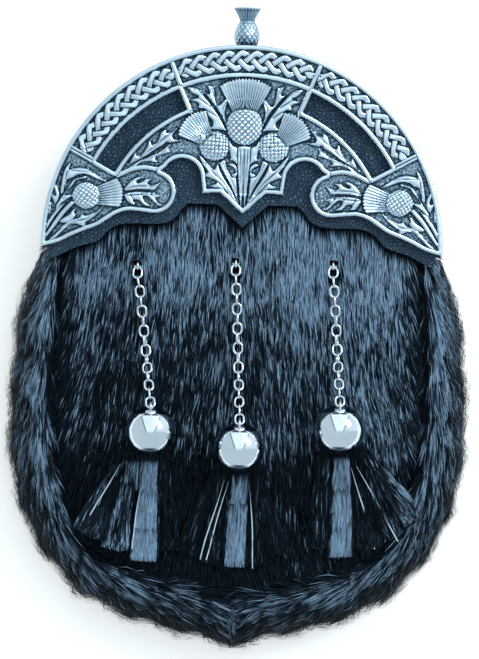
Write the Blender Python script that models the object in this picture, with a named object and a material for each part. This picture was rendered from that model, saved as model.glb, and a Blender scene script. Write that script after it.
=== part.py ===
"""Dress sporran pouch lying on its back: front up (+Z), finial towards +Y, resting on z = 0.

Sizes are in millimetres. Outlines are drawn from the centre of the arch, x to the right and y towards the finial,
and the empty arch_centre carries them all. The drawing tables are on a grid that the named sizes stretch.
"""

import math

import bmesh
import bpy
from mathutils import Matrix, Vector

for old in list(bpy.data.objects):
    bpy.data.objects.remove(old, do_unlink=True)

MM = 0.001

# Overall sizes
CANTLE_RADIUS = 85.2
KNOB = 16.3
DROP = 169.6
BODY_WIDTH = 195.0
FRONT_TOP = 38.0
SAG = 4.0
FALL = 9.0
FALL_START = 10.0
GAP = 0.3

# Walls
HIDE = 3.0
LEATHER = 2.0
BACK_LOW = 6.8
BACK_WALL = 2.5
BAND_WALL = 2.5
MOUTH_EDGE = 55.0

# Cantle
PLATE = 2.0
RIM_TOP = 3.2
RIM = 1.9
FLANGE = 4.1
FLANGE_ANGLE = 84.0
SINK = 0.7
KNOT_SWING = 3.0
KNOT_HALF = 1.25
KNOT_PITCH = 18.0
ARCH_RIB = 2.3
BAR_ANGLES = (22.2, 61.5)
WINDOW = (62.3, 71.4)

# Chains, bells and tassels
LINK_LENGTH = 6.0
LINK_WIDTH = 4.7
WIRE = 1.0
HOOK = 0.74
SLOT = (3.4, 5.4)
BELL_RADIUS = 10.85
BELL_WALL = 1.0
BELL_MOUTH = 2.8
BELL_TILT = 35.0
EYE_RADIUS = 1.9
STRIP = 2.4
STRIP_REACH = 5.5
BORDER_RISE = 6.2

# Finial
FINIAL_Z = 29.5
STEM = 2.2

CANTLE_GRID = 85.2
BODY_GRID = (97.5, 169.6)

# Lower edge of the cantle, right half, from the tip inwards: x, y
CANTLE_EDGE = (
    (85.2, -2.4),
    (77.8, -0.3),
    (72.5, 2.4),
    (67.0, 4.8),
    (61.5, 7.0),
    (57.1, 9.9),
    (53.1, 12.4),
    (49.0, 13.7),
    (44.6, 13.6),
)
# Round lobe and small arch: centre x, centre y, radius, first angle, last angle, steps
LOBE = (37.6, 22.2, 9.3, 270.0, 106.0, 6)
SMALL_ARCH = (26.0, 28.6, 8.0, 30.0, 180.0, 5)
SHIELD_EDGE = (
    (17.5, 24.9),
    (17.2, 21.8),
    (13.1, 22.2),
    (9.6, 22.2),
    (6.9, 19.9),
    (3.8, 16.8),
)
SHIELD_TIP = (0.0, 13.6)

# Lower edge of the leather apron, right half, from the side inwards
APRON_EDGE = (
    (82.0, -7.0),
    (79.5, -6.8),
    (72.0, -2.9),
    (66.6, -1.0),
    (61.0, 0.8),
    (56.2, 5.8),
    (51.0, 8.1),
    (42.5, 8.5),
    (33.8, 8.8),
    (28.8, 11.0),
    (26.0, 14.9),
    (23.1, 17.5),
    (10.9, 17.5),
    (5.2, 12.6),
)
APRON_TIP = (0.0, 7.6)

# Stations round the border, right half, from the cantle's tip to the bottom: groove x, y, outer x, y, lift of the
# crest over the front panel
BORDER = (
    (73.2, -0.6, 85.6, -1.2, -4.2),
    (73.6, -8.0, 88.7, -9.0, -2.0),
    (74.3, -19.0, 92.4, -20.5, 2.2),
    (75.3, -30.0, 94.4, -32.0, 3.4),
    (76.0, -42.0, 96.0, -45.0, 3.6),
    (76.2, -55.0, 97.0, -59.0, 3.7),
    (76.0, -68.0, 97.5, -73.0, 3.8),
    (75.2, -80.0, 97.0, -86.0, 3.9),
    (73.5, -90.5, 95.4, -98.0, 4.0),
    (71.4, -100.5, 92.7, -108.5, 4.0),
    (69.0, -110.0, 88.6, -119.0, 4.0),
    (66.0, -119.0, 83.0, -128.5, 4.0),
    (62.0, -125.5, 76.0, -137.5, 4.0),
    (56.8, -129.8, 67.5, -146.0, 4.0),
    (50.0, -133.4, 57.5, -152.0, 4.0),
    (42.0, -136.0, 47.0, -156.8, 4.0),
    (33.0, -138.0, 36.5, -160.2, 4.0),
    (24.0, -139.8, 25.5, -162.8, 4.0),
    (15.0, -141.5, 15.0, -165.0, 4.0),
    (7.0, -143.0, 6.6, -167.4, 4.0),
)
BORDER_TIP = (0.0, -143.8, 0.0, -169.6, 4.0)

# Section of the border: share of the way outwards, share of the crest's height, shift in millimetres
BORDER_SKIN = (
    (0.000, 1.00, "front", -3.0),
    (0.000, 1.00, "front", -0.4),
    (0.200, 1.00, "crest", -0.9),
    (0.480, 1.00, "crest", 0.0),
    (0.800, 1.00, "crest", -6.0),
    (0.970, 0.62, "crest", 0.0),
    (1.000, 0.38, "crest", 0.0),
    (0.780, 0.00, "crest", 0.0),
    (0.260, 0.00, "crest", 0.0),
    (0.000, 0.00, "crest", 6.2),
    (0.010, 0.00, "crest", 9.4),
    (0.550, 0.00, "crest", 4.0),
    (0.840, 0.38, "crest", 0.0),
    (0.800, 0.60, "crest", 0.0),
    (0.480, 1.00, "crest", -4.6),
    (0.180, 1.00, "crest", -4.4),
)

# Chains: slot x, y, bell centre x, y
CHAINS = {
    "left": (-43.8, -9.6, -36.6, -79.4),
    "centre": (-2.2, -7.6, 1.1, -85.6),
    "right": (39.1, -7.6, 43.3, -76.9),
}
# Strips of each tassel: end x and y from the bell's centre, half-width at the end
STRIPS = {
    "left": (
        (-26.0, -44.0, 6.4),
        (-15.0, -50.0, 5.6),
        (-1.6, -54.6, 5.4),
        (8.0, -50.0, 5.2),
    ),
    "centre": (
        (-20.5, -45.0, 6.0),
        (-10.0, -49.5, 5.4),
        (0.6, -50.0, 5.6),
        (10.0, -49.0, 5.2),
        (17.5, -44.5, 4.6),
    ),
    "right": (
        (-8.0, -50.0, 5.0),
        (1.4, -53.4, 5.6),
        (15.0, -50.0, 5.6),
        (25.5, -44.0, 5.8),
        (31.5, -37.5, 4.4),
    ),
}

# Relief, right half. Bulbs: x, y, half-width, half-height, top
BULBS = {
    "middle": (0.0, 50.9, 7.6, 8.2, 5.3),
    "side": (12.5, 42.1, 6.4, 6.4, 4.7),
    "end": (66.4, 19.8, 5.9, 5.7, 4.9),
}
# Crowns: neck from, neck to, outer from, outer middle, outer to, ridges, top
CROWNS = {
    "middle": ((-5.2, 57.4), (5.2, 57.4), (-10.2, 67.2), (0.0, 70.4), (10.2, 67.2), 7, 4.5),
    "side": ((13.4, 47.2), (18.0, 42.6), (16.8, 56.0), (24.2, 53.2), (27.9, 46.4), 5, 4.2),
    "end": ((61.0, 23.6), (61.0, 16.6), (53.4, 27.4), (50.8, 21.6), (52.0, 15.6), 4, 4.4),
}
# Leaves: rows of vein x, y, half-width; then lobes as root x, y, tip x, y, half-width at the root
LEAVES = (
    (
        ((8.8, 49.6, 0.5), (14.5, 57.0, 1.9), (19.5, 62.2, 1.7), (24.0, 66.0, 0.0)),
        (
            (13.8, 56.6, 9.2, 61.4, 1.4),
            (18.0, 61.0, 15.6, 67.4, 1.4),
            (18.4, 60.4, 24.6, 58.6, 1.4),
        ),
    ),
    (
        ((1.9, 19.2, 0.4), (6.4, 26.6, 1.5), (9.0, 34.6, 0.0)),
        (),
    ),
    (
        ((3.4, 20.4, 0.4), (10.4, 28.4, 1.7), (17.6, 36.6, 0.0)),
        ((9.4, 27.4, 15.6, 27.6, 1.3),),
    ),
    (
        ((52.0, 31.4, 0.4), (44.0, 37.8, 1.8), (36.0, 43.4, 1.9), (28.4, 46.6, 0.0)),
        (
            (45.4, 37.4, 45.2, 43.0, 1.4),
            (40.4, 41.0, 39.0, 47.4, 1.4),
            (35.0, 44.4, 32.0, 50.4, 1.4),
            (38.4, 40.6, 35.0, 36.4, 1.3),
        ),
    ),
    (
        ((49.6, 23.6, 0.6), (43.6, 25.6, 1.9), (34.8, 24.4, 0.0)),
        ((45.8, 26.0, 44.6, 29.0, 1.1), (41.6, 25.8, 38.4, 28.4, 1.1)),
    ),
    (
        ((49.6, 20.8, 0.6), (42.0, 19.8, 1.9), (32.4, 21.0, 0.0)),
        ((46.0, 19.6, 43.4, 15.8, 1.1), (41.4, 19.0, 37.8, 15.4, 1.1)),
    ),
    (
        ((81.8, 7.0, 0.4), (79.0, 18.0, 1.6), (76.6, 26.0, 1.4), (73.4, 34.0, 0.0)),
        ((78.8, 19.0, 75.4, 24.6, 1.2),),
    ),
    (
        ((75.2, 20.0, 0.5), (72.2, 26.4, 1.5), (66.0, 28.9, 1.3), (58.2, 26.6, 0.0)),
        ((70.6, 27.2, 68.4, 32.6, 1.1),),
    ),
    (
        ((82.0, 1.4, 0.4), (74.0, 7.0, 1.4), (66.2, 7.6, 0.0)),
        ((75.0, 7.0, 71.0, 11.0, 1.0),),
    ),
    (
        ((75.0, 11.6, 0.4), (68.0, 11.8, 1.2), (59.4, 14.6, 0.0)),
        (),
    ),
)
LEAF_TOP = 3.7
# Stems: rows of x, y, half-width
STEMS = (
    ((0.0, 43.4, 1.8), (0.0, 30.0, 1.6), (0.0, 18.4, 0.6)),
)
SIDE_STEM = ((72.4, 16.6, 1.1), (78.0, 9.6, 1.0), (83.0, 1.6, 0.4))
STEM_TOP = 3.9

# Finial: height over the top of the arch, radius
FINIAL = (
    (-6.0, 0.0),
    (-6.0, 2.2),
    (-1.85, 2.2),
    (-1.85, 4.2),
    (-0.9, 4.2),
    (-0.5, 3.5),
    (1.2, 4.9),
    (4.1, 5.45),
    (7.2, 4.9),
    (10.1, 3.4),
    (12.4, 4.0),
    (15.9, 5.9),
    (16.3, 5.2),
    (15.4, 2.4),
    (15.2, 0.0),
)
KNURLED = 11.8

# The plait runs midway between the arch rib and the rim
KNOT_RADIUS = (WINDOW[1] + ARCH_RIB + CANTLE_GRID - RIM) / 2
RISE = CANTLE_RADIUS + KNOB
unit = CANTLE_RADIUS / CANTLE_GRID
wide = BODY_WIDTH / 2 / BODY_GRID[0]
long = DROP / BODY_GRID[1]


def polar(radius, degrees):
    """A point at an angle from the vertical."""
    angle = math.radians(degrees)
    return (radius * math.sin(angle), radius * math.cos(angle))


def arc(row):
    cx, cy, radius, first, last, steps = row
    steps = round(steps)
    points = []
    for k in range(steps + 1):
        angle = math.radians(first + (last - first) * k / steps)
        points.append((cx + radius * math.cos(angle), cy + radius * math.sin(angle)))
    return points


def scaled(points, sx, sy):
    return [(x * sx, y * sy) for x, y in points]


def inset(points, distance):
    """The closed outline moved inwards, its corners mitred."""
    area = 0.0
    count = len(points)
    for k in range(count):
        (ax, ay), (bx, by) = points[k], points[(k + 1) % count]
        area += ax * by - bx * ay
    side = distance if area > 0 else -distance
    result = []
    for k in range(count):
        here = Vector(points[k])
        before = (here - Vector(points[k - 1])).normalized()
        after = (Vector(points[(k + 1) % count]) - here).normalized()
        n1 = Vector((-before.y, before.x))
        n2 = Vector((-after.y, after.x))
        bisector = (n1 + n2).normalized()
        reach = side / max(0.45, bisector.dot(n1))
        result.append(tuple(here + bisector * reach))
    return result


def sag(x):
    """Drop of everything in front, which is bent round the wearer."""
    return -SAG * (x / CANTLE_RADIUS) ** 2


def front_z(x, y):
    fall = max(0.0, -y - FALL_START) / (DROP - FALL_START)
    return FRONT_TOP + sag(x) - FALL * 1.35 * fall ** 2


def groove_half(y):
    """Half-width of the front panel at a height, inside the border."""
    rows = BORDER
    for (ax, ay, *rest), (bx, by, *more) in zip(rows, rows[1:]):
        ax, ay, bx, by = ax * wide, ay * long, bx * wide, by * long
        if by <= y <= ay:
            return ax + (bx - ax) * (y - ay) / (by - ay)
    return rows[0][0] * wide if y > rows[0][1] * long else 0.0


def ground_z(x, y):
    """What a strip lies on: the front panel, or the border where it crosses it."""
    inside = groove_half(y) - abs(x) - STRIP_REACH
    over = min(1.0, max(0.0, 1.0 - inside / 9.0))
    return front_z(x, y) + BORDER_RISE * over * over * (3 - 2 * over)


def bend(mesh):
    for vertex in mesh.vertices:
        vertex.co.z += sag(vertex.co.x)


def solid(verts, faces):
    """A mesh with its faces pointing out."""
    mesh = bpy.data.meshes.new("solid")
    mesh.from_pydata([tuple(v) for v in verts], [], faces)
    work = bmesh.new()
    work.from_mesh(mesh)
    bmesh.ops.recalc_face_normals(work, faces=work.faces)
    work.to_mesh(mesh)
    work.free()
    return mesh


def loft(sections, ring=False):
    """Joins sections of equal length; a section of one point closes an end."""
    verts = []
    rows = []
    for section in sections:
        rows.append(list(range(len(verts), len(verts) + len(section))))
        verts.extend(section)
    faces = []
    pairs = list(zip(rows, rows[1:]))
    if ring:
        pairs.append((rows[-1], rows[0]))
    for a, b in pairs:
        count = max(len(a), len(b))
        for k in range(count):
            n = (k + 1) % count
            if len(a) == 1:
                faces.append((a[0], b[n], b[k]))
            elif len(b) == 1:
                faces.append((a[k], a[n], b[0]))
            else:
                faces.append((a[k], a[n], b[n], b[k]))
    if not ring:
        if len(rows[0]) > 2:
            faces.append(tuple(reversed(rows[0])))
        if len(rows[-1]) > 2:
            faces.append(tuple(rows[-1]))
    return solid(verts, faces)


def prism(points, low, high):
    return loft([[(x, y, low) for x, y in points], [(x, y, high) for x, y in points]])


def rib(points, halves, low, tops, crown=0.0, ring=False):
    """A rib along a line on the plate; crown is the width of its top as a share of its base."""
    sections = []
    count = len(points)
    for k in range(count):
        here = Vector(points[k])
        before = Vector(points[k - 1]) if k or ring else here
        after = Vector(points[(k + 1) % count]) if k < count - 1 or ring else here
        d1 = (here - before).normalized() if before != here else (after - here).normalized()
        d2 = (after - here).normalized() if after != here else d1
        n1 = Vector((-d1.y, d1.x))
        n2 = Vector((-d2.y, d2.x))
        across = (n1 + n2).normalized()
        half = halves[k] / max(0.5, across.dot(n1))
        if halves[k] == 0.0:
            sections.append([(here.x, here.y, (low + tops[k]) / 2)])
            continue
        left = here + across * half
        right = here - across * half
        if crown:
            inner = here + across * half * crown
            outer = here - across * half * crown
            sections.append(
                [
                    (left.x, left.y, low),
                    (inner.x, inner.y, tops[k]),
                    (outer.x, outer.y, tops[k]),
                    (right.x, right.y, low),
                ]
            )
        else:
            sections.append([(left.x, left.y, low), (here.x, here.y, tops[k]), (right.x, right.y, low)])
    return loft(sections, ring)


def dome(x, y, rx, ry, low, top, sides=10):
    sections = []
    for share, height in ((1.0, low), (0.95, low + 0.42 * (top - low)), (0.62, low + 0.86 * (top - low))):
        ring = []
        for k in range(sides):
            angle = 2 * math.pi * (k + 0.5) / sides
            ring.append((x + rx * share * math.cos(angle), y + ry * share * math.sin(angle), height))
        sections.append(ring)
    sections.append([(x, y, top)])
    return loft(sections)


def crown(row, low):
    neck_a, neck_b, outer_a, middle, outer_b = scaled(row[:5], unit, unit)
    ridges, top = row[5:]
    sections = []
    steps = 2 * round(ridges)
    for k in range(steps + 1):
        t = k / steps
        neck = Vector(neck_a).lerp(Vector(neck_b), t)
        outer = (
            Vector(outer_a) * (1 - t) ** 2
            + (Vector(middle) * 2 - (Vector(outer_a) + Vector(outer_b)) / 2) * 2 * t * (1 - t)
            + Vector(outer_b) * t ** 2
        )
        height = top if k % 2 else top - 0.7
        sections.append([(neck.x, neck.y, low), (outer.x, outer.y, low), (outer.x, outer.y, height)])
    return loft(sections)


def lobe(row, low, top):
    """One pointed lobe of a leaf."""
    rx, ry, tx, ty, half = [value * unit for value in row]
    root = Vector((rx, ry))
    tip = Vector((tx, ty))
    along = (tip - root).normalized()
    across = Vector((-along.y, along.x)) * half
    a = root + across
    b = root - across
    verts = [(a.x, a.y, low), (b.x, b.y, low), (rx, ry, top), (tx, ty, low + 0.2)]
    return solid(verts, [(0, 1, 2), (1, 0, 3), (0, 2, 3), (2, 1, 3)])


def moved(mesh, matrix):
    mesh.transform(matrix)
    return mesh


def mirror_mesh(mesh):
    copy = mesh.copy()
    for vertex in copy.vertices:
        vertex.co.x = -vertex.co.x
    copy.flip_normals()
    return copy


def combine(base, added, cut=()):
    """One mesh: the base, less the cut ones, joined with the added ones."""
    target = bpy.data.objects.new("target", base)
    bpy.context.scene.collection.objects.link(target)
    temps = [target]
    for name, meshes, operation in (("cut", cut, "DIFFERENCE"), ("added", added, "UNION")):
        if not meshes:
            continue
        group = bpy.data.collections.new(name)
        for mesh in meshes:
            tool = bpy.data.objects.new(name, mesh)
            group.objects.link(tool)
            temps.append(tool)
        modifier = target.modifiers.new(name, "BOOLEAN")
        modifier.operation = operation
        modifier.solver = "EXACT"
        modifier.operand_type = "COLLECTION"
        modifier.collection = group
    bpy.context.view_layer.update()
    graph = bpy.context.evaluated_depsgraph_get()
    result = bpy.data.meshes.new_from_object(target.evaluated_get(graph))
    for temp in temps:
        bpy.data.objects.remove(temp, do_unlink=True)
    return result


def tidy(mesh, planes=(), weld=0.02):
    """Splits at planes across x, welds slivers and leaves triangles."""
    work = bmesh.new()
    work.from_mesh(mesh)
    for x in planes:
        bmesh.ops.bisect_plane(
            work,
            geom=list(work.verts) + list(work.edges) + list(work.faces),
            dist=0.0001,
            plane_co=(x, 0.0, 0.0),
            plane_no=(1.0, 0.0, 0.0),
        )
    bmesh.ops.remove_doubles(work, verts=work.verts, dist=weld)
    bmesh.ops.dissolve_degenerate(work, edges=work.edges, dist=0.001)
    bmesh.ops.triangulate(work, faces=work.faces, quad_method="BEAUTY", ngon_method="BEAUTY")
    work.to_mesh(mesh)
    work.free()
    return mesh


origin = bpy.data.objects.new("arch_centre", None)
origin.location = (0.0, (DROP - RISE) / 2 * MM, 0.0)
bpy.context.scene.collection.objects.link(origin)


def place(name, mesh, colour, roughness, metallic=0.0, at=(0.0, 0.0, 0.0), smooth=True):
    """A part of the pouch: its mesh is in millimetres from the arch's centre, or from `at`."""
    mesh.name = name
    mesh.transform(Matrix.Scale(MM, 4))
    for face in mesh.polygons:
        face.use_smooth = smooth
    if smooth:
        mesh.set_sharp_from_angle(angle=math.radians(38))
    obj = bpy.data.objects.new(name, mesh)
    obj.parent = origin
    obj.location = Vector(at) * MM
    material = bpy.data.materials.new(name)
    material.use_nodes = True
    shader = material.node_tree.nodes["Principled BSDF"]
    shader.inputs["Base Color"].default_value = (*colour, 1.0)
    shader.inputs["Roughness"].default_value = roughness
    shader.inputs["Metallic"].default_value = metallic
    mesh.materials.clear()
    mesh.materials.append(material)
    bpy.context.scene.collection.objects.link(obj)
    return obj


SILVER = (0.42, 0.49, 0.54)
CHROME = (0.68, 0.76, 0.82)
BLACK_FUR = (0.014, 0.018, 0.026)
BLACK_LEATHER = (0.03, 0.04, 0.055)
BENDS = (-60.0 * unit, -30.0 * unit, 0.0, 30.0 * unit, 60.0 * unit)

# Front panel, back panel: the groove's outline
groove = [(x * wide, y * long) for x, y, ox, oy, lift in BORDER]
groove_tip = (BORDER_TIP[0] * wide, BORDER_TIP[1] * long)
panel_radius = CANTLE_RADIUS - RIM - GAP - BAND_WALL - GAP
upper = [polar(panel_radius, 90.0 - 180.0 * k / 16) for k in range(17)]
upper[0] = (upper[0][0], 0.6)
upper[-1] = (upper[-1][0], 0.6)
inner = [(x - 0.25, y + 0.3) for x, y in groove[1:]]
right_side = [(groove[0][0] - 0.25, 0.6)] + inner
lower = right_side + [(0.0, groove_tip[1] + 0.4)]
lower += [(-x, y) for x, y in reversed(right_side)]
panel = upper + list(reversed(lower))


def polar_shell(points, centre, shares, high, low):
    """A closed wall between two surfaces over an outline that is star-shaped from the centre."""
    cx, cy = centre
    verts = []
    faces = []
    count = len(points)
    for surface in (high, low):
        for share in shares:
            for x, y in points:
                px, py = cx + (x - cx) * share, cy + (y - cy) * share
                verts.append((px, py, surface(px, py)))
        verts.append((cx, cy, surface(cx, cy)))
    size = len(shares) * count + 1
    for side in (0, 1):
        base = side * size
        for r in range(len(shares) - 1):
            for k in range(count):
                n = (k + 1) % count
                a = base + r * count
                b = base + (r + 1) * count
                faces.append((a + k, a + n, b + n, b + k))
        last = base + (len(shares) - 1) * count
        for k in range(count):
            faces.append((last + k, last + (k + 1) % count, base + size - 1))
    for k in range(count):
        n = (k + 1) % count
        faces.append((k, n, size + n, size + k))
    return solid(verts, faces)


def slot_cutter(x, y):
    sections = []
    for z in (FRONT_TOP - 14.0, FRONT_TOP + 6.0):
        ring = []
        for sx, sy in ((-1, -0.6), (-0.5, -1), (0.5, -1), (1, -0.6), (1, 0.6), (0.5, 1), (-0.5, 1), (-1, 0.6)):
            ring.append((x + sx * SLOT[0] / 2, y + sy * SLOT[1] / 2, z))
        sections.append(ring)
    return loft(sections)


front = polar_shell(panel, (0.0, 6.0), (1.0, 0.6, 0.25), front_z, lambda x, y: front_z(x, y) - HIDE)
slots = [slot_cutter(row[0] * wide, row[1] * long) for row in CHAINS.values()]
front = tidy(combine(front, (), slots))
place("front_panel", front, BLACK_FUR, 0.5)

# Back panel: straight top edge below the arch, so that the pocket opens above it
reach = math.sqrt(panel_radius ** 2 - MOUTH_EDGE ** 2)
back_outline = [(x, y) for x, y in upper if y < MOUTH_EDGE]
split = [p for p in back_outline if p[0] > 0]
other = [p for p in back_outline if p[0] < 0]
back_outline = split + [(reach, MOUTH_EDGE), (-reach, MOUTH_EDGE)] + other + list(reversed(lower))
back = tidy(prism(back_outline, BACK_LOW, BACK_LOW + BACK_WALL))
place("back_panel", back, BLACK_LEATHER, 0.6, smooth=False)

# Belt loops: flat leather bridges over a gap for the strap
LOOP_X = 45.0
LOOP_Y = 18.0
LOOP_WIDTH = 20.0
LOOP_SPAN = 45.0
loop_half = LOOP_SPAN / 2
loop_section = (
    (-loop_half, BACK_LOW - GAP),
    (-loop_half, 1.6),
    (-loop_half + 1.6, 0.0),
    (loop_half - 1.6, 0.0),
    (loop_half, 1.6),
    (loop_half, BACK_LOW - GAP),
    (loop_half - LEATHER, BACK_LOW - GAP),
    (loop_half - LEATHER, LEATHER),
    (-loop_half + LEATHER, LEATHER),
    (-loop_half + LEATHER, BACK_LOW - GAP),
)
for name, side in (("left", -1), ("right", 1)):
    sections = [[(x, y, z) for y, z in loop_section] for x in (-LOOP_WIDTH / 2, LOOP_WIDTH / 2)]
    mesh = tidy(loft(sections))
    place("belt_loop_" + name, mesh, BLACK_LEATHER, 0.55, at=(side * LOOP_X, LOOP_Y, 0.0), smooth=False)

# Top band: the arch that closes the pouch above
band_out = CANTLE_RADIUS - RIM - GAP
band_in = band_out - BAND_WALL
sections = []
for k in range(25):
    angle = -90.0 + 180.0 * k / 24
    (ox, oy), (ix, iy) = polar(band_out, angle), polar(band_in, angle)
    oy, iy = max(oy, 0.1), max(iy, 0.1)
    sections.append(
        [
            (ox, oy, BACK_LOW),
            (ox, oy, FRONT_TOP + sag(ox)),
            (ix, iy, FRONT_TOP + sag(ix)),
            (ix, iy, BACK_LOW),
        ]
    )
hole = loft(
    [
        [
            (
                (STEM + GAP) * math.cos(2 * math.pi * k / 10),
                y,
                FINIAL_Z + (STEM + GAP) * math.sin(2 * math.pi * k / 10),
            )
            for k in range(10)
        ]
        for y in (band_in - 3.0, band_out + 3.0)
    ]
)
band = tidy(combine(loft(sections), (), (hole,)))
place("top_band", band, BLACK_LEATHER, 0.6)

# Leather apron behind the cantle
apron_arc = [polar(band_out, 90.0 - 180.0 * k / 28) for k in range(29)]
edge = scaled(APRON_EDGE, unit, unit)
tip = (APRON_TIP[0] * unit, APRON_TIP[1] * unit)
apron_outline = apron_arc + [(-x, y) for x, y in edge] + [tip] + list(reversed(edge))
apron = prism(apron_outline, FRONT_TOP + GAP, FRONT_TOP + GAP + LEATHER)
apron = tidy(apron, BENDS)
bend(apron)
place("leather_apron", apron, BLACK_LEATHER, 0.5, smooth=False)

# Cantle
half_edge = [(x * unit, y * unit) for x, y in CANTLE_EDGE]
half_edge += [(x * unit, y * unit) for x, y in arc(LOBE)]
half_edge += [(x * unit, y * unit) for x, y in arc(SMALL_ARCH)]
half_edge += scaled(SHIELD_EDGE, unit, unit)
shield_tip = (SHIELD_TIP[0] * unit, SHIELD_TIP[1] * unit)
outer_arc = [polar(CANTLE_RADIUS, 90.0 - 180.0 * k / 30) for k in range(1, 30)]
cantle_outline = outer_arc + [(-x, y) for x, y in half_edge] + [shield_tip] + list(reversed(half_edge))

loops = (
    (inset(cantle_outline, 0.0), 0.0),
    (inset(cantle_outline, 0.3), RIM_TOP),
    (inset(cantle_outline, RIM - 0.5), RIM_TOP),
    (inset(cantle_outline, RIM), PLATE),
)
tray = loft([[(x, y, z) for x, y in loop] for loop, z in loops])


def sector(inner_radius, outer_radius, first, last, steps, low, high):
    points = [polar(outer_radius, first + (last - first) * k / steps) for k in range(steps + 1)]
    points += [polar(inner_radius, last + (first - last) * k / steps) for k in range(steps + 1)]
    return prism(points, low, high)


low = PLATE - SINK
added = []
flange = sector(CANTLE_RADIUS - RIM, CANTLE_RADIUS - 0.2, FLANGE_ANGLE, -FLANGE_ANGLE, 20, -FLANGE, RIM_TOP - 1.4)
added.append(flange)

# Straight bars and the two arch ribs
bar_in = WINDOW[0] - 1.0
for side in (-1, 1):
    for angle in BAR_ANGLES:
        ends = [polar(bar_in * unit, side * angle), polar((CANTLE_RADIUS / unit - 1.2) * unit, side * angle)]
        added.append(rib(ends, (1.05, 1.05), low, (RIM_TOP, RIM_TOP), 0.6))
    count = 7
    first, last = BAR_ANGLES
    points = [polar(61.2 * unit, side * (first + 0.3 + (last - first - 0.6) * k / count)) for k in range(count + 1)]
    added.append(rib(points, [1.05] * (count + 1), low, [RIM_TOP - 0.1] * (count + 1), 0.6))
    points = [(52.6, 28.6), (47.4, 31.0), (41.6, 32.2), (36.6, 31.2), (33.0, 30.2)]
    points = [(side * x * unit, y * unit) for x, y in points]
    added.append(rib(points, [0.85] * 5, low, [RIM_TOP - 0.2] * 5, 0.55))
count = 20
reach = BAR_ANGLES[1] - 0.4
points = [polar(72.4 * unit, -reach + 2 * reach * k / count) for k in range(count + 1)]
added.append(rib(points, [1.3] * (count + 1), low, [RIM_TOP] * (count + 1), 0.6))

# Plait of three strands in each part of the band; a strand dips under at every second crossing
for first, last in ((-BAR_ANGLES[1], -BAR_ANGLES[0]), (-BAR_ANGLES[0], BAR_ANGLES[0]), BAR_ANGLES):
    length = math.radians(last - first) * KNOT_RADIUS
    periods = max(1, round(length / KNOT_PITCH * 3)) / 3
    for strand in range(3):
        points = []
        tops = []
        steps = int(math.ceil(periods * 2)) + 2
        for k in range(-2, steps + 2):
            # corners at a quarter and three quarters of each turn
            corner = 90.0 + 180.0 * k + 120.0 * strand
            share = corner / 360.0 / periods
            if share < 0.03 or share > 0.97:
                continue
            swing = KNOT_SWING if k % 2 == 0 else -KNOT_SWING
            points.append((first + (last - first) * share, KNOT_RADIUS + swing))
            tops.append(3.4)
        for place_at, at_end in ((0, first + (last - first) * 0.004), (len(points), last - (last - first) * 0.004)):
            points.insert(place_at, (at_end, KNOT_RADIUS))
            tops.insert(place_at, 3.2)
        line = [polar(radius * unit, angle) for angle, radius in points]
        added.append(rib(line, [KNOT_HALF] * len(line), low, tops))


def tapered(rows, tops, flat=0.0):
    """A rib from rows of x, y and half-width on the drawing's grid."""
    line = [(x * unit, y * unit) for x, y, half in rows]
    return rib(line, [half * unit for x, y, half in rows], low, tops, flat)


# Thistles, leaves and stems
for name in ("side", "end"):
    x, y, rx, ry, top = BULBS[name]
    bulb = dome(x * unit, y * unit, rx * unit, ry * unit, low, top)
    fan = crown(CROWNS[name], low)
    added += [bulb, mirror_mesh(bulb), fan, mirror_mesh(fan)]
x, y, rx, ry, top = BULBS["middle"]
added.append(dome(x * unit, y * unit, rx * unit, ry * unit, low, top, 12))
added.append(crown(CROWNS["middle"], low))
for veins, lobes in LEAVES:
    blade = tapered(veins, [LEAF_TOP] * len(veins))
    added += [blade, mirror_mesh(blade)]
    for row in lobes:
        piece = lobe(row, low, LEAF_TOP - 0.15)
        added += [piece, mirror_mesh(piece)]
for rows in STEMS:
    added.append(tapered(rows, [STEM_TOP] * len(rows), 0.4))
side_stem = tapered(SIDE_STEM, [STEM_TOP] * len(SIDE_STEM))
added += [side_stem, mirror_mesh(side_stem)]

windows = []
for side in (-1, 1):
    first = side * (BAR_ANGLES[0] + 1.1)
    last = side * (BAR_ANGLES[1] - 0.4)
    windows.append(sector(WINDOW[0] * unit, WINDOW[1] * unit, first, last, 7, -3.0, 9.0))
cantle = tidy(combine(tray, added, windows), BENDS, 0.01)
for vertex in cantle.vertices:
    vertex.co.z += FRONT_TOP + GAP + LEATHER + GAP
bend(cantle)
place("cantle", cantle, SILVER, 0.32, 1.0)

# Finial: a turned thistle whose stem passes through the band
sides = 12
sections = []
for over, radius in FINIAL:
    y = CANTLE_RADIUS + over
    if radius == 0.0:
        sections.append([(0.0, y, 0.0)])
        continue
    ring = []
    for k in range(sides):
        angle = 2 * math.pi * k / sides
        ridge = 0.9 if over > KNURLED and k % 2 else 1.0
        ring.append((radius * ridge * math.cos(angle), y, radius * ridge * math.sin(angle)))
    sections.append(ring)
place("finial", tidy(loft(sections)), SILVER, 0.35, 1.0, at=(0.0, 0.0, FINIAL_Z))

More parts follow.
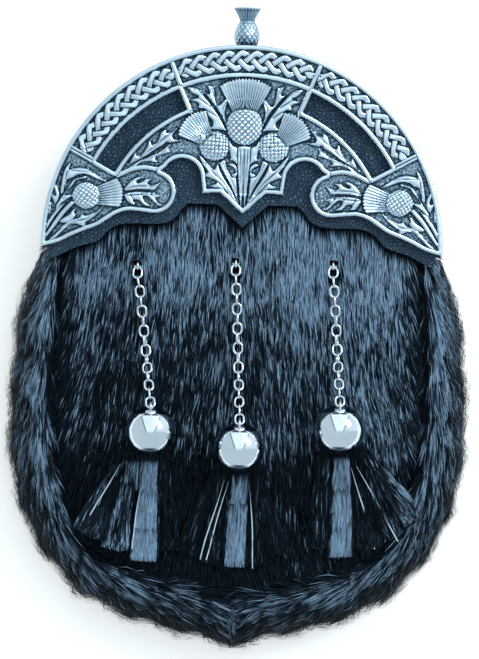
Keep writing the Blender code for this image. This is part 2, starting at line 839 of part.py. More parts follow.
# Fur border: a hollow roll with locks, from one tip of the cantle round to the other
stations = list(BORDER) + [BORDER_TIP]
stations += [(-gx, gy, -ox, oy, lift) for gx, gy, ox, oy, lift in reversed(BORDER)]
sections = []
for k, (gx, gy, ox, oy, lift) in enumerate(stations):
    groove_x, groove_y, outer_x, outer_y = gx * wide, gy * long, ox * wide, oy * long
    end = k in (0, len(stations) - 1)
    tip_lock = gx == 0.0
    ridge = 0.0 if end or tip_lock else (1.0 if k % 2 else -0.7)
    crest = front_z(groove_x, groove_y) + lift + ridge
    out = Vector((outer_x - groove_x, outer_y - groove_y))
    reach = out.length + ridge * 0.7
    out.normalize()
    # locks lean towards the bottom tip
    lean = 0.0 if end or tip_lock else -1.6
    section = []
    for share, height, level, shift in BORDER_SKIN:
        x = groove_x + out.x * (0.25 + share * (reach - 0.25))
        y = groove_y + out.y * (0.25 + share * (reach - 0.25)) + lean * share
        if level == "front":
            z = front_z(groove_x, groove_y) + shift
        else:
            z = crest * height + shift
        section.append((x, y, max(0.0, z)))
    sections.append(section)
place("fur_border", tidy(loft(sections)), BLACK_FUR, 0.55)


def link(length, width, wire):
    """A link lying in the plane of x and y, long in y."""
    radius = (width - wire) / 2
    straight = (length - width) / 2
    sections = []
    for k in range(10):
        angle = 2 * math.pi * (k + 0.5) / 10
        centre = Vector((radius * math.cos(angle), radius * math.sin(angle), 0.0))
        centre.y += straight if centre.y > 0 else -straight
        out = Vector((math.cos(angle), math.sin(angle), 0.0))
        ring = []
        for j in range(5):
            turn = 2 * math.pi * (j + 0.27) / 5
            ring.append(centre + (out * math.cos(turn) + Vector((0, 0, 1)) * math.sin(turn)) * wire / 2)
        sections.append(ring)
    return loft(sections, True)


def aimed(centre, along, roll):
    """Turns a link's y along a direction, rolled about it from lying flat."""
    along = along.normalized()
    side = along.cross(Vector((0.0, 0.0, 1.0)))
    if side.length < 0.01:
        side = Vector((1.0, 0.0, 0.0))
    side.normalize()
    up = side.cross(along)
    basis = Matrix((side, along, up)).transposed().to_4x4()
    return Matrix.Translation(centre) @ basis @ Matrix.Rotation(roll, 4, "Y")


def along_path(path, distance):
    for a, b in zip(path, path[1:]):
        step = (b - a).length
        if distance <= step:
            return a.lerp(b, distance / step)
        distance -= step
    return path[-1] + (path[-1] - path[-2]).normalized() * distance


tilt = math.radians(BELL_TILT)
axis = Vector((0.0, math.cos(tilt), math.sin(tilt)))
mouth_radius = math.sqrt(BELL_RADIUS ** 2 - BELL_MOUTH ** 2)
for name, (sx, sy, bx, by) in CHAINS.items():
    sx, sy, bx, by = sx * wide, sy * long, bx * wide, by * long
    # Bell: a round cap with an eye on its top
    bz = front_z(bx, by + 4.0) + BELL_MOUTH * math.sin(tilt) + mouth_radius * math.cos(tilt) + 0.5
    centre = Vector((bx, by, bz))
    upright = Vector((0.0, 0.0, 1.0)).rotation_difference(axis).to_matrix().to_4x4()
    rings = []
    open_angle = math.acos(-BELL_MOUTH / BELL_RADIUS)
    for k in range(6):
        angle = open_angle * k / 5
        rings.append((BELL_RADIUS * math.sin(angle), BELL_RADIUS * math.cos(angle)))
    hollow = BELL_RADIUS - BELL_WALL
    for k in range(4, -1, -1):
        angle = open_angle * k / 4
        rings.append((hollow * math.sin(angle), hollow * math.cos(angle)))
    sections = []
    for radius, height in rings:
        if radius < 0.01:
            sections.append([(0.0, 0.0, height)])
        else:
            sections.append(
                [
                    (radius * math.cos(2 * math.pi * k / 14), radius * math.sin(2 * math.pi * k / 14), height)
                    for k in range(14)
                ]
            )
    # Chain: from an anchor behind the panel, out of the slot, along the panel and up to the eye
    top = front_z(sx, sy)
    goal = centre + axis * (BELL_RADIUS + EYE_RADIUS - 0.25)
    level = LINK_WIDTH / 2 + 0.35
    path = [Vector((sx, sy - 0.4, top + 0.75)), Vector((sx, sy - 5.5, front_z(sx, sy - 5.5) + level))]
    rise = goal.y + 24.0
    steps = 8
    for k in range(1, steps + 1):
        y = sy - 5.5 + (rise - sy + 5.5) * k / steps
        x = sx + (goal.x - sx) * (y - sy) / (goal.y - sy)
        path.append(Vector((x, y, front_z(x, y) + level)))
    path.append(goal)
    length = sum((b - a).length for a, b in zip(path, path[1:]))
    # an odd count, so that the last link lies flat and the eye stands across it
    count = 2 * round(((length - HOOK) / (LINK_LENGTH - WIRE - HOOK) - 1) / 2) + 1
    pitch = (length - HOOK) / count
    core = pitch + HOOK
    eye = link(2 * EYE_RADIUS + WIRE, 2 * EYE_RADIUS + WIRE, WIRE)
    turn = Matrix.Rotation(math.pi / 2, 4, "Y")
    eye.transform(Matrix.Translation((0, 0, BELL_RADIUS + EYE_RADIUS - 0.25)) @ turn)
    bell = tidy(combine(loft(sections), (eye,)))
    bell.transform(upright)
    place("bell_" + name, bell, CHROME, 0.12, 1.0, at=centre)
    first = link(LINK_LENGTH, LINK_WIDTH, WIRE)
    standing = Matrix.Translation((sx, sy, top - 0.9)) @ Matrix.Rotation(math.pi / 2, 4, "Z")
    standing = standing @ Matrix.Rotation(math.pi / 2, 4, "X")
    first.transform(standing)
    links = []
    for k in range(count):
        a = along_path(path, k * pitch)
        b = along_path(path, k * pitch + core)
        roll = math.pi / 2 if k % 2 else 0.0
        roll += (0.22 if 1 < k < count - 2 else 0.04) * math.sin(k * 1.9 + 0.6)
        piece = link(core + WIRE, LINK_WIDTH, WIRE)
        piece.transform(aimed((a + b) / 2, b - a, roll))
        links.append(piece)
    anchor_z = top - HIDE - 1.5
    anchor = loft(
        [
            [(x, sy + y, anchor_z + z) for y, z in ((-1, -1), (1, -1), (1, 1), (-1, 1))]
            for x in (sx - 6.0, sx + 6.0)
        ]
    )
    chain = tidy(combine(first, links + [anchor]), weld=0.004)
    chain.transform(Matrix.Translation(-Vector((sx, sy, top))))
    place("chain_" + name, chain, CHROME, 0.18, 1.0, at=(sx, sy, top))

    # Tassel: strips spreading from a head inside the bell
    head_radius = BELL_RADIUS - BELL_WALL - 1.2
    sections = []
    for radius, height in ((head_radius * 0.6, 5.0), (head_radius, 0.5), (head_radius, -3.2), (head_radius * 0.8, -6.0)):
        sections.append(
            [
                (radius * math.cos(2 * math.pi * k / 10), radius * math.sin(2 * math.pi * k / 10), height)
                for k in range(10)
            ]
        )
    head = loft(sections)
    head.transform(Matrix.Translation(centre) @ upright)
    strips = []
    rows = STRIPS[name]
    for k, (ex, ey, half) in enumerate(rows):
        share = (k - (len(rows) - 1) / 2) / len(rows)
        layer = 0.5 + STRIP / 2 + (0.0 if k % 2 else STRIP * 0.75)
        root = centre - axis * 2.4 + Vector((share * 11.0, 0.0, 0.0))
        end = Vector((bx + ex * wide, by + ey * long, 0.0))
        sections = []
        for t in (0.0, 0.16, 0.4, 0.7, 1.0):
            spot = root.lerp(end, t)
            ground = ground_z(spot.x, spot.y) + layer
            fade = max(0.0, 1.0 - t / 0.42)
            z = ground + (root.z - ground) * fade ** 1.4
            across = Vector((-(end.y - root.y), end.x - root.x, 0.0)).normalized()
            spread = (2.6 + (half - 2.6) * min(1.0, t * 1.5)) * wide
            thin = STRIP / 2 * (0.8 if t == 1.0 else 1.0)
            middle = Vector((spot.x, spot.y, z))
            up = Vector((0.0, 0.0, thin))
            sections.append(
                [
                    middle - across * spread - up * 0.5,
                    middle - up,
                    middle + across * spread - up * 0.5,
                    middle + up,
                ]
            )
        strips.append(loft(sections))
    tassel = tidy(combine(head, strips), weld=0.01)
    tassel.transform(Matrix.Translation(-centre))
    place("tassel_" + name, tassel, BLACK_FUR, 0.6, at=centre)
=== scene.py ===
"""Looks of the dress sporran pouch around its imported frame.

Shapes are worked out in millimetres from the centre of the arch, x to the right, y towards the finial and
z out of the front, and become metres in the frame's own axes when a piece is made.
"""

import math

import bpy
import numpy as np
from mathutils import Matrix, Vector
from mathutils.bvhtree import BVHTree


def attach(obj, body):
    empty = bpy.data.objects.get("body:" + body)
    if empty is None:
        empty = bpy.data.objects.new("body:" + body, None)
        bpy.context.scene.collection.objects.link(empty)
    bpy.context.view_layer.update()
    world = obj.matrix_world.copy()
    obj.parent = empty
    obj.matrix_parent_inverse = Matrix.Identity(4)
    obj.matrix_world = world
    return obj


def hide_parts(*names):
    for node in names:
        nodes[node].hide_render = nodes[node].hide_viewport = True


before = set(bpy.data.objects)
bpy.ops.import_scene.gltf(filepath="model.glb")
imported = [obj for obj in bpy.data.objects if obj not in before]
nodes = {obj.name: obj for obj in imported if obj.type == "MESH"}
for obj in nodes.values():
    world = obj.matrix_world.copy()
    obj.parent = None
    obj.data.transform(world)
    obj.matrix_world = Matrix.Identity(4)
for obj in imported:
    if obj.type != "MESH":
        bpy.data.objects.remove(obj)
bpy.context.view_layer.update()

MM = 0.001
SEED = 20
# The arch's centre in the frame, and the photograph's millimetres a pixel, turn in degrees and centre pixel
ARCH_Y = 34.05
PHOTO_SCALE = 0.425
PHOTO_TURN = 1.45
PHOTO_CENTRE = (239.5, 326.5)

# Sizes shared with the part's source, in millimetres and degrees
CANTLE_RADIUS = 85.2
DROP = 169.6
FRONT_TOP = 38.0
SAG = 4.0
FALL = 9.0
FALL_START = 10.0
FALL_SHARE = 1.35
LEATHER_BASE = 38.3
LEATHER = 2.0
CANTLE_BASE = 40.6
PLATE = 2.0
RIM = 1.9
RIM_RISE = 1.2
FLANGE = 4.1
BAND_OUT = 83.0
FINIAL_Z = 29.5
KNOT_RADIUS = 78.5
BAR_ANGLES = (22.2, 61.5)
WINDOW = (62.3, 71.4)
LINK_LENGTH = 6.0
LINK_WIDTH = 4.7
WIRE = 1.0
HOOK = 0.74
SLOT = (3.4, 5.4)
BELL_RADIUS = 10.85
BELL_WALL = 1.0
BELL_MOUTH = 2.8
BELL_TILT = 35.0
EYE_RADIUS = 1.9

# Lower edge of the cantle, right half, from the rim's end inwards: x, y
CANTLE_EDGE = (
    (85.2, -2.4), (77.8, -0.3), (72.5, 2.4), (67.0, 4.8), (61.5, 7.0),
    (57.1, 9.9), (53.1, 12.4), (49.0, 13.7), (44.6, 13.6), (37.8, 12.9),
)
# Arcs of that edge: centre x, centre y, radius, first and last angle, steps
LOBE = (37.6, 22.2, 9.3, 270.0, 106.0, 14)
SMALL_ARCH = (26.0, 28.6, 8.0, 30.0, 180.0, 14)
SHIELD_EDGE = (
    (17.5, 24.9), (17.2, 21.8), (13.1, 22.2), (9.6, 22.2), (6.9, 19.9), (3.8, 16.8),
)
SHIELD_TIP = (0.0, 13.6)
# Lower edge of the leather, right half
APRON_EDGE = (
    (82.0, -7.0), (79.5, -6.8), (72.0, -2.9), (66.6, -1.0), (61.0, 0.8),
    (56.2, 5.8), (51.0, 8.1), (42.5, 8.5), (33.8, 8.8), (28.8, 11.0),
    (26.0, 14.9), (23.1, 17.5), (10.9, 17.5), (5.2, 12.6),
)
APRON_TIP = (0.0, 7.6)

# Groove and outer edge of the fur border, right half: groove x, y, outer x, y
BORDER = (
    (73.2, -0.6, 85.6, -1.2),
    (73.6, -8.0, 88.7, -9.0),
    (74.3, -19.0, 92.4, -20.5),
    (75.3, -30.0, 94.4, -32.0),
    (76.0, -42.0, 96.0, -45.0),
    (76.2, -55.0, 97.0, -59.0),
    (76.0, -68.0, 97.5, -73.0),
    (75.2, -80.0, 97.0, -86.0),
    (73.5, -90.5, 95.4, -98.0),
    (71.4, -100.5, 92.7, -108.5),
    (69.0, -110.0, 88.6, -119.0),
    (66.0, -119.0, 83.0, -128.5),
    (62.0, -125.5, 76.0, -137.5),
    (56.8, -129.8, 67.5, -146.0),
    (50.0, -133.4, 57.5, -152.0),
    (42.0, -136.0, 47.0, -156.8),
    (33.0, -138.0, 36.5, -160.2),
    (24.0, -139.8, 25.5, -162.8),
    (15.0, -141.5, 15.0, -165.0),
    (7.0, -143.0, 6.6, -167.4),
    (0.0, -143.8, 0.0, -169.6),
)

# Slot x, y and bell centre x, y
CHAINS = {
    "left": (-43.8, -9.6, -36.6, -79.4),
    "centre": (-2.2, -7.6, 1.1, -85.6),
    "right": (39.1, -7.6, 43.3, -76.9),
}


def polar(radius, degrees):
    """A point of the arch, by its angle from the top."""
    angle = math.radians(degrees)
    return (radius * math.sin(angle), radius * math.cos(angle))


def arc(row):
    cx, cy, radius, first, last, steps = row
    points = []
    for k in range(steps + 1):
        angle = math.radians(first + (last - first) * k / steps)
        points.append((cx + radius * math.cos(angle), cy + radius * math.sin(angle)))
    return points


def rounded(points, pieces=4):
    """The same open line through its points, as a smooth curve."""
    p = np.array(points, float)
    ends = np.vstack([2 * p[0] - p[1], p, 2 * p[-1] - p[-2]])
    result = []
    for k in range(1, len(ends) - 2):
        a, b, c, d = ends[k - 1 : k + 3]
        for t in np.arange(pieces) / pieces:
            bend = 2 * a - 5 * b + 4 * c - d
            twist = 3 * b - a - 3 * c + d
            result.append(0.5 * (2 * b + (c - a) * t + bend * t ** 2 + twist * t ** 3))
    result.append(p[-1])
    return [tuple(q) for q in result]


def mirrored(points):
    return [(-p[0],) + tuple(p[1:]) for p in points]


def sag(x):
    """How much lower the front lies away from the middle."""
    return -SAG * (x / CANTLE_RADIUS) ** 2


def front_z(x, y):
    """Height of the fur front, which falls towards the lower end."""
    fall = np.maximum(0.0, -y - FALL_START) / (DROP - FALL_START)
    return FRONT_TOP + sag(x) - FALL * FALL_SHARE * fall ** 2


def to_metres(points):
    """From the arch's centre in millimetres to the frame's metres."""
    p = np.array(points, float)
    p[:, 1] += ARCH_Y
    return p * MM


def from_metres(points):
    p = np.array(points, float) / MM
    p[:, 1] -= ARCH_Y
    return p


def clamp(value):
    return np.clip(value, 0.0, 1.0)


def turns(count):
    return [2 * math.pi * k / count for k in range(count)]


def linked(name, data):
    """A new object in the scene."""
    piece = bpy.data.objects.new(name, data)
    bpy.context.scene.collection.objects.link(piece)
    return piece


# Materials
def colour(r, g, b):
    return (r, g, b, 1.0)


def fill(tree, socket, value):
    """Links a socket to another node's output, or sets it to a number or colour."""
    if isinstance(value, bpy.types.NodeSocket):
        tree.links.new(value, socket)
    else:
        socket.default_value = value


def new_node(tree, kind, output, sockets, **settings):
    """The named output of a new node."""
    node = tree.nodes.new(kind)
    for key, value in settings.items():
        setattr(node, key, value)
    for key, value in sockets.items():
        fill(tree, node.inputs[key], value)
    return node.outputs[output]


def math_node(tree, operation, a, b=0.0):
    return new_node(tree, "ShaderNodeMath", 0, {0: a, 1: b}, operation=operation)


class Nodes:
    """Short names for a material's nodes."""

    def __init__(self, name, roughness, metallic=0.0, specular=0.5):
        self.material = bpy.data.materials.new(name)
        self.material.use_nodes = True
        self.tree = self.material.node_tree
        self.shader = self.tree.nodes["Principled BSDF"]
        self.set("Roughness", roughness)
        self.set("Metallic", metallic)
        self.set("Specular IOR Level", specular)
        self.place = self.add("ShaderNodeTexCoord", "Object")

    def set(self, name, value):
        fill(self.tree, self.shader.inputs[name], value)

    def add(self, kind, output, sockets=None, **settings):
        return new_node(self.tree, kind, output, sockets or {}, **settings)

    def stretched(self, x, y, z):
        return self.add("ShaderNodeMapping", "Vector", {"Scale": (x, y, z), "Vector": self.place})

    def noise(self, scale, detail=3.0, rough=0.5, vector=None):
        sockets = {"Scale": scale, "Detail": detail, "Roughness": rough, "Vector": vector or self.place}
        return self.add("ShaderNodeTexNoise", "Fac", sockets)

    def creases(self, scale, vector):
        sockets = {"Scale": scale, "Vector": vector}
        return self.add("ShaderNodeTexVoronoi", "Distance", sockets, feature="DISTANCE_TO_EDGE")

    def attribute(self, name):
        return self.add("ShaderNodeAttribute", "Fac", attribute_name=name)

    def ramp(self, source, *stops):
        node = self.tree.nodes.new("ShaderNodeValToRGB")
        elements = node.color_ramp.elements
        while len(elements) < len(stops):
            elements.new(0.5)
        for element, (position, shade) in zip(elements, stops):
            element.position = position
            element.color = shade if isinstance(shade, tuple) else colour(shade, shade, shade)
        fill(self.tree, node.inputs["Fac"], source)
        return node.outputs["Color"]

    def math(self, operation, a, b):
        return math_node(self.tree, operation, a, b)

    def mix(self, factor, a, b, mode="MIX"):
        return self.add("ShaderNodeMix", 2, {0: factor, 6: a, 7: b}, data_type="RGBA", blend_type=mode)

    def bump(self, height, strength, distance):
        sockets = {"Height": height, "Strength": strength, "Distance": distance}
        self.set("Normal", self.add("ShaderNodeBump", "Normal", sockets))


def silver():
    """Cast silver, darkened in its recesses and worn bright on its edges."""
    n = Nodes("cast_silver", 0.3, metallic=1.0)
    cavity = n.math("ADD", n.attribute("patina"), n.math("MULTIPLY", n.noise(1500.0), 0.14))
    shade = n.ramp(
        cavity,
        (0.10, colour(0.72, 0.86, 0.96)),
        (0.34, colour(0.42, 0.57, 0.69)),
        (0.62, colour(0.16, 0.24, 0.31)),
        (0.95, colour(0.022, 0.038, 0.055)),
    )
    tone = n.ramp(n.noise(60.0), (0.3, 0.84), (0.7, 1.0))
    n.set("Base Color", n.mix(1.0, shade, tone, "MULTIPLY"))
    n.set("Roughness", n.ramp(n.noise(400.0), (0.3, 0.2), (0.75, 0.38)))
    n.bump(n.noise(2600.0, 2.0), 0.25, 0.0001)
    return n.material


def chrome(name, rough, painted_dark_reflection=None):
    """Polished metal, with a painted dark reflection where the named attribute says so."""
    n = Nodes(name, rough, metallic=1.0)
    shade = n.ramp(n.noise(90.0), (0.3, colour(0.70, 0.78, 0.85)), (0.7, colour(0.80, 0.87, 0.93)))
    if painted_dark_reflection:
        # painted reflection: the attribute darkens the base colour where the mirror would show the dark room
        reflection_shade = n.ramp(n.attribute(painted_dark_reflection), (0.0, colour(1.0, 1.0, 1.0)), (1.0, colour(0.05, 0.08, 0.12)))
        shade = n.mix(1.0, shade, reflection_shade, "MULTIPLY")
    n.set("Base Color", shade)
    n.set("Roughness", n.ramp(n.noise(500.0), (0.35, rough), (0.8, rough + 0.06)))
    n.bump(n.noise(700.0), 0.03, 0.0001)
    return n.material


def leather(name, dark, light, grain):
    """Grained leather: cells, pores, a little wear and painted shade in the creases."""
    n = Nodes(name, 0.45, specular=0.5)
    n.set("Specular Tint", colour(0.6, 0.82, 1.0))
    warp = n.mix(0.0006, n.place, n.add("ShaderNodeTexNoise", "Color"))
    creases = n.ramp(n.creases(grain, warp), (0.0, 0.0), (0.34, 1.0))
    height = n.mix(0.45, creases, n.noise(grain * 1.3, 4.0))
    n.bump(height, 1.0, 0.0014)
    patch = n.noise(45.0, 4.0)
    shade = n.ramp(patch, (0.3, colour(*dark)), (0.75, colour(*light)))
    # painted shade: the base colour is darker in the creases of the grain
    n.set("Base Color", n.mix(1.0, shade, n.ramp(height, (0.3, 0.35), (0.75, 1.0)), "MULTIPLY"))
    n.set("Roughness", n.ramp(n.noise(300.0), (0.3, 0.36), (0.8, 0.56)))
    return n.material


def fur(name, dark, middle, light, rough):
    """Hair: each blade carries its own tone and painted light."""
    n = Nodes(name, rough, specular=0.22)
    n.set("Specular Tint", colour(0.42, 0.7, 1.0))
    tone_and_light = n.attribute("tone_and_light")
    black = colour(*(3.5 * value for value in dark))
    # the ramp's pale end is a painted highlight, for hairs that catch the light
    shade = n.ramp(tone_and_light, (0.0, colour(*dark)), (0.3, black), (0.6, colour(*middle)), (1.0, colour(*light)))
    along = n.noise(1.0, 2.0, 0.5, n.stretched(900.0, 160.0, 900.0))
    n.set("Base Color", n.mix(1.0, shade, n.ramp(along, (0.3, 0.7), (0.7, 1.0)), "MULTIPLY"))
    n.set("Roughness", n.ramp(n.noise(700.0), (0.3, rough - 0.05), (0.8, rough + 0.12)))
    return n.material


def hide():
    """The skin and underfur that the hairs stand on."""
    n = Nodes("underfur", 0.85, specular=0.04)
    streaks = n.noise(1.0, 3.0, 0.6, n.stretched(1500.0, 190.0, 1500.0))
    shade = n.ramp(streaks, (0.35, colour(0.001, 0.0015, 0.002)), (0.75, colour(0.005, 0.008, 0.012)))
    n.set("Base Color", shade)
    n.bump(streaks, 0.6, 0.0006)
    return n.material


def mottled(name, a, b, scale, rough):
    """Two close tones mixed by fine noise, for cut edges and thread."""
    n = Nodes(name, rough)
    n.set("Base Color", n.ramp(n.noise(scale, 4.0), (0.3, colour(*a)), (0.75, colour(*b))))
    n.bump(n.noise(scale * 4, 3.0), 0.2, 0.0002)
    return n.material


SILVER = silver()
CHROME = chrome("polished_metal", 0.03, "painted_dark_reflection")
CHAIN_METAL = chrome("chain_metal", 0.12)
LEATHER_FRONT = leather("grained_leather", (0.044, 0.080, 0.130), (0.074, 0.132, 0.205), 640.0)
LEATHER_BACK = leather("plain_leather", (0.012, 0.015, 0.02), (0.03, 0.035, 0.042), 620.0)
FUR = fur("black_hair", (0.0008, 0.0012, 0.002), (0.045, 0.076, 0.118), (0.36, 0.52, 0.70), 0.36)
HIDE = hide()
EDGE = mottled("cut_edge", (0.42, 0.55, 0.68), (0.75, 0.86, 0.95), 400.0, 0.5)
THREAD = mottled("waxed_thread", (0.075, 0.09, 0.11), (0.14, 0.16, 0.185), 900.0, 0.45)


def pale_floor():
    """A pale floor that stays pale under the pouch's shadow."""
    n = Nodes("pale_floor", 0.85)
    n.set("Base Color", n.ramp(n.noise(6.0), (0.3, colour(0.97, 0.93, 0.89)), (0.7, colour(1.0, 0.96, 0.92))))
    n.set("Emission Color", colour(1.0, 1.0, 1.0))
    n.set("Emission Strength", 0.4)
    return n.material


FLOOR = pale_floor()


# Pieces. The walls and the back of a plate have a patina of their own.
WALL_TONE = 0.5
BACK_TONE = 0.8


def make(name, points, loops, sizes, material, slot, attributes=None, sharp=None):
    """A piece from points in millimetres, flat face corners and the size of each face."""
    points = to_metres(points)
    mesh = bpy.data.meshes.new(name)
    mesh.vertices.add(len(points))
    mesh.vertices.foreach_set("co", points.astype(np.float32).ravel())
    mesh.loops.add(len(loops))
    mesh.loops.foreach_set("vertex_index", np.asarray(loops, np.int32))
    mesh.polygons.add(len(sizes))
    starts = np.concatenate(([0], np.cumsum(sizes)[:-1])).astype(np.int32)
    mesh.polygons.foreach_set("loop_start", starts)
    mesh.update(calc_edges=True)
    mesh.validate()
    mesh.polygons.foreach_set("use_smooth", np.full(len(mesh.polygons), True))
    if sharp:
        mesh.set_sharp_from_angle(angle=math.radians(sharp))
    for key, values in (attributes or {}).items():
        layer = mesh.attributes.new(key, "FLOAT", "POINT")
        layer.data.foreach_set("value", np.asarray(values, np.float32))
    mesh.materials.append(material)
    piece = linked(name, mesh)
    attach(piece, "root")
    return piece


class Parts:
    """Gathers shapes that become one piece."""

    def __init__(self):
        self.points = []
        self.loops = []
        self.sizes = []
        self.count = 0

    def add(self, points, faces):
        for face in faces:
            self.loops.extend(self.count + k for k in face)
            self.sizes.append(len(face))
        self.points.extend(tuple(p) for p in points)
        self.count += len(points)

    def loft(self, sections, ring=False):
        """Joins sections with as many points each, closed into a ring or with an end cap at each end."""
        points = [p for section in sections for p in section]
        size = len(sections[0])
        faces = []
        count = len(sections)
        for r in range(count if ring else count - 1):
            a, b = r * size, (r + 1) % count * size
            for k in range(size):
                n = (k + 1) % size
                faces.append((a + k, a + n, b + n, b + k))
        if not ring:
            faces.append(tuple(range(size - 1, -1, -1)))
            faces.append(tuple(range((count - 1) * size, count * size)))
        self.add(points, faces)

    def make(self, name, material, slot, **options):
        return make(name, np.array(self.points), self.loops, self.sizes, material, slot, **options)


def outline_field(x, y, loops):
    """Distance from the outlines, positive inside."""
    best = np.full(x.shape, 1e9)
    inside = np.zeros(x.shape, bool)
    for loop in loops:
        for (ax, ay), (bx, by) in zip(loop, loop[1:] + loop[:1]):
            dx, dy = bx - ax, by - ay
            if dx * dx + dy * dy < 1e-12:
                continue
            t = clamp(((x - ax) * dx + (y - ay) * dy) / (dx * dx + dy * dy))
            best = np.minimum(best, (x - ax - t * dx) ** 2 + (y - ay - t * dy) ** 2)
            if ay != by:
                inside ^= ((ay > y) != (by > y)) & (x < (bx - ax) * (y - ay) / (by - ay) + ax)
    return np.where(inside, 1.0, -1.0) * np.sqrt(best)


def line_field(x, y, points):
    """Distance from an open line, and its width there where it has one."""
    best = np.full(x.shape, 1e9)
    width = np.ones(x.shape)
    rows = np.array([tuple(p) + (1.0,) * (3 - len(p)) for p in points])
    for k in range(len(rows) - 1):
        (ax, ay, aw), (bx, by, bw) = rows[k], rows[k + 1]
        dx, dy = bx - ax, by - ay
        t = clamp(((x - ax) * dx + (y - ay) * dy) / max(1e-9, dx * dx + dy * dy))
        distance = (x - ax - t * dx) ** 2 + (y - ay - t * dy) ** 2
        w = aw + (bw - aw) * t
        # nearest by share of the width, so that a wide stretch isn't cut off by a narrow one
        nearer = distance / w ** 2 < best
        best = np.where(nearer, distance / w ** 2, best)
        width = np.where(nearer, w, width)
    return np.sqrt(best) * width, width


def blur(field, cells):
    """Gaussian blur by Fourier transform."""
    rows, columns = field.shape
    pad = int(cells * 3) + 1
    wide = np.pad(field, pad, mode="edge")
    fy = np.fft.fftfreq(wide.shape[0])[:, None]
    fx = np.fft.fftfreq(wide.shape[1])[None, :]
    kernel = np.exp(-2 * (math.pi * cells) ** 2 * (fx ** 2 + fy ** 2))
    result = np.real(np.fft.ifft2(np.fft.fft2(wide) * kernel))
    return result[pad : pad + rows, pad : pad + columns]


def speckle(shape, cells, seed):
    """Smooth noise from -1 to 1 with bumps a few cells wide."""
    rng = np.random.default_rng(seed)
    field = blur(rng.standard_normal(shape), cells)
    return np.clip(field / (2.2 * field.std()), -1.0, 1.0)


def plate(name, step, loops, relief, low, base, material, slot, turn_in=1.6):
    """A plate from a relief over a grid, cut to the outlines, with walls and a return below."""
    flat = np.array([p for loop in loops for p in loop])
    x_line = np.arange(flat[:, 0].min() - step, flat[:, 0].max() + 2 * step, step)
    y_line = np.arange(flat[:, 1].min() - step, flat[:, 1].max() + 2 * step, step)
    x, y = np.meshgrid(x_line, y_line)
    field = outline_field(x, y, loops)
    z, extra = relief(x, y, field, step)
    keep = field > -0.45 * step
    cell = keep[:-1, :-1] & keep[1:, :-1] & keep[:-1, 1:] & keep[1:, 1:]
    rows, columns = x.shape
    index = np.arange(rows * columns).reshape(rows, columns)
    quads = np.stack([index[:-1, :-1], index[:-1, 1:], index[1:, 1:], index[1:, :-1]], -1)[cell]
    # edges with a face on one side only
    edges = np.concatenate([quads[:, [0, 1]], quads[:, [1, 2]], quads[:, [2, 3]], quads[:, [3, 0]]])
    key = np.sort(edges, 1)
    code = key[:, 0].astype(np.int64) * rows * columns + key[:, 1]
    _, first, counts = np.unique(code, return_index=True, return_counts=True)
    border = edges[first[counts == 1]]
    gy, gx = np.gradient(field, step)
    length = np.maximum(1e-6, np.hypot(gx, gy))
    gx, gy = gx / length, gy / length
    px, py, pz, pf = x.ravel().copy(), y.ravel().copy(), z.ravel().copy(), field.ravel()
    gx, gy = gx.ravel(), gy.ravel()
    rim = np.unique(border)
    px[rim] -= gx[rim] * pf[rim]
    py[rim] -= gy[rim] * pf[rim]
    used = np.unique(quads)
    new_index = np.full(rows * columns, -1)
    new_index[used] = np.arange(len(used))
    quads = new_index[quads]
    border_new = new_index[border]
    position = {int(v): k for k, v in enumerate(rim)}
    ring_of = np.array([position[int(v)] for v in border.ravel()]).reshape(-1, 2)
    top = np.stack([px[used], py[used], pz[used]], 1)
    floor_z = low(px[rim], py[rim])
    outer = np.stack([px[rim], py[rim], floor_z], 1)
    inner = np.stack([px[rim] + gx[rim] * turn_in, py[rim] + gy[rim] * turn_in, floor_z], 1)
    count = len(used)
    size = len(rim)
    a, b = border_new[:, 0], border_new[:, 1]
    ra, rb = ring_of[:, 0] + count, ring_of[:, 1] + count
    walls = np.stack([b, a, ra, rb], 1)
    returns = np.stack([rb, ra, ra + size, rb + size], 1)
    faces = np.concatenate([quads, walls, returns])
    points = np.concatenate([top, outer, inner])
    points[:, 2] += base + sag(points[:, 0])
    values = {}
    values = {}
    for label, layer in extra.items():
        tones = (layer.ravel()[used], np.full(size, WALL_TONE), np.full(size, BACK_TONE))
        values[label] = np.concatenate(tones)
    sizes = np.full(len(faces), 4)
    return make(name, points, faces.ravel(), sizes, material, slot, attributes=values, sharp=50.0)


# Cantle
half_edge = rounded(CANTLE_EDGE) + arc(LOBE) + arc(SMALL_ARCH) + list(SHIELD_EDGE)
outer_arc = [polar(CANTLE_RADIUS, 90.0 - 180.0 * k / 120) for k in range(121)]
cantle_outline = outer_arc + mirrored(half_edge) + [SHIELD_TIP] + half_edge[::-1]


def sector(inner, outer, first, last, steps):
    """A closed stretch of a ring between two angles."""
    points = [polar(outer, first + (last - first) * k / steps) for k in range(steps + 1)]
    points += [polar(inner, last + (first - last) * k / steps) for k in range(steps + 1)]
    return points


windows = [
    sector(*WINDOW, side * (BAR_ANGLES[0] + 1.1), side * (BAR_ANGLES[1] - 0.4), 36) for side in (-1, 1)
]

# Relief, right half. Bulbs: x, y, half-width, half-height, rise, hatch angle, cell
BULBS = (
    (0.0, 50.9, 7.7, 8.3, 2.9, 45.0, 1.95),
    (12.5, 42.1, 6.5, 6.4, 2.4, 3.0, 1.75),
    (66.4, 19.8, 6.0, 5.8, 2.5, 35.0, 1.7),
)
# Crowns: neck from, neck to, outer from, outer middle, outer to, ribs, rise
CROWNS = (
    ((-5.2, 56.6), (5.2, 56.6), (-11.2, 67.6), (0.0, 71.2), (11.2, 67.6), 17, 2.3),
    ((13.4, 46.6), (17.6, 42.2), (16.6, 57.0), (24.6, 54.0), (28.3, 46.2), 12, 1.9),
    ((61.4, 24.2), (61.4, 16.0), (53.4, 27.6), (50.6, 21.6), (52.0, 15.2), 9, 2.0),
)
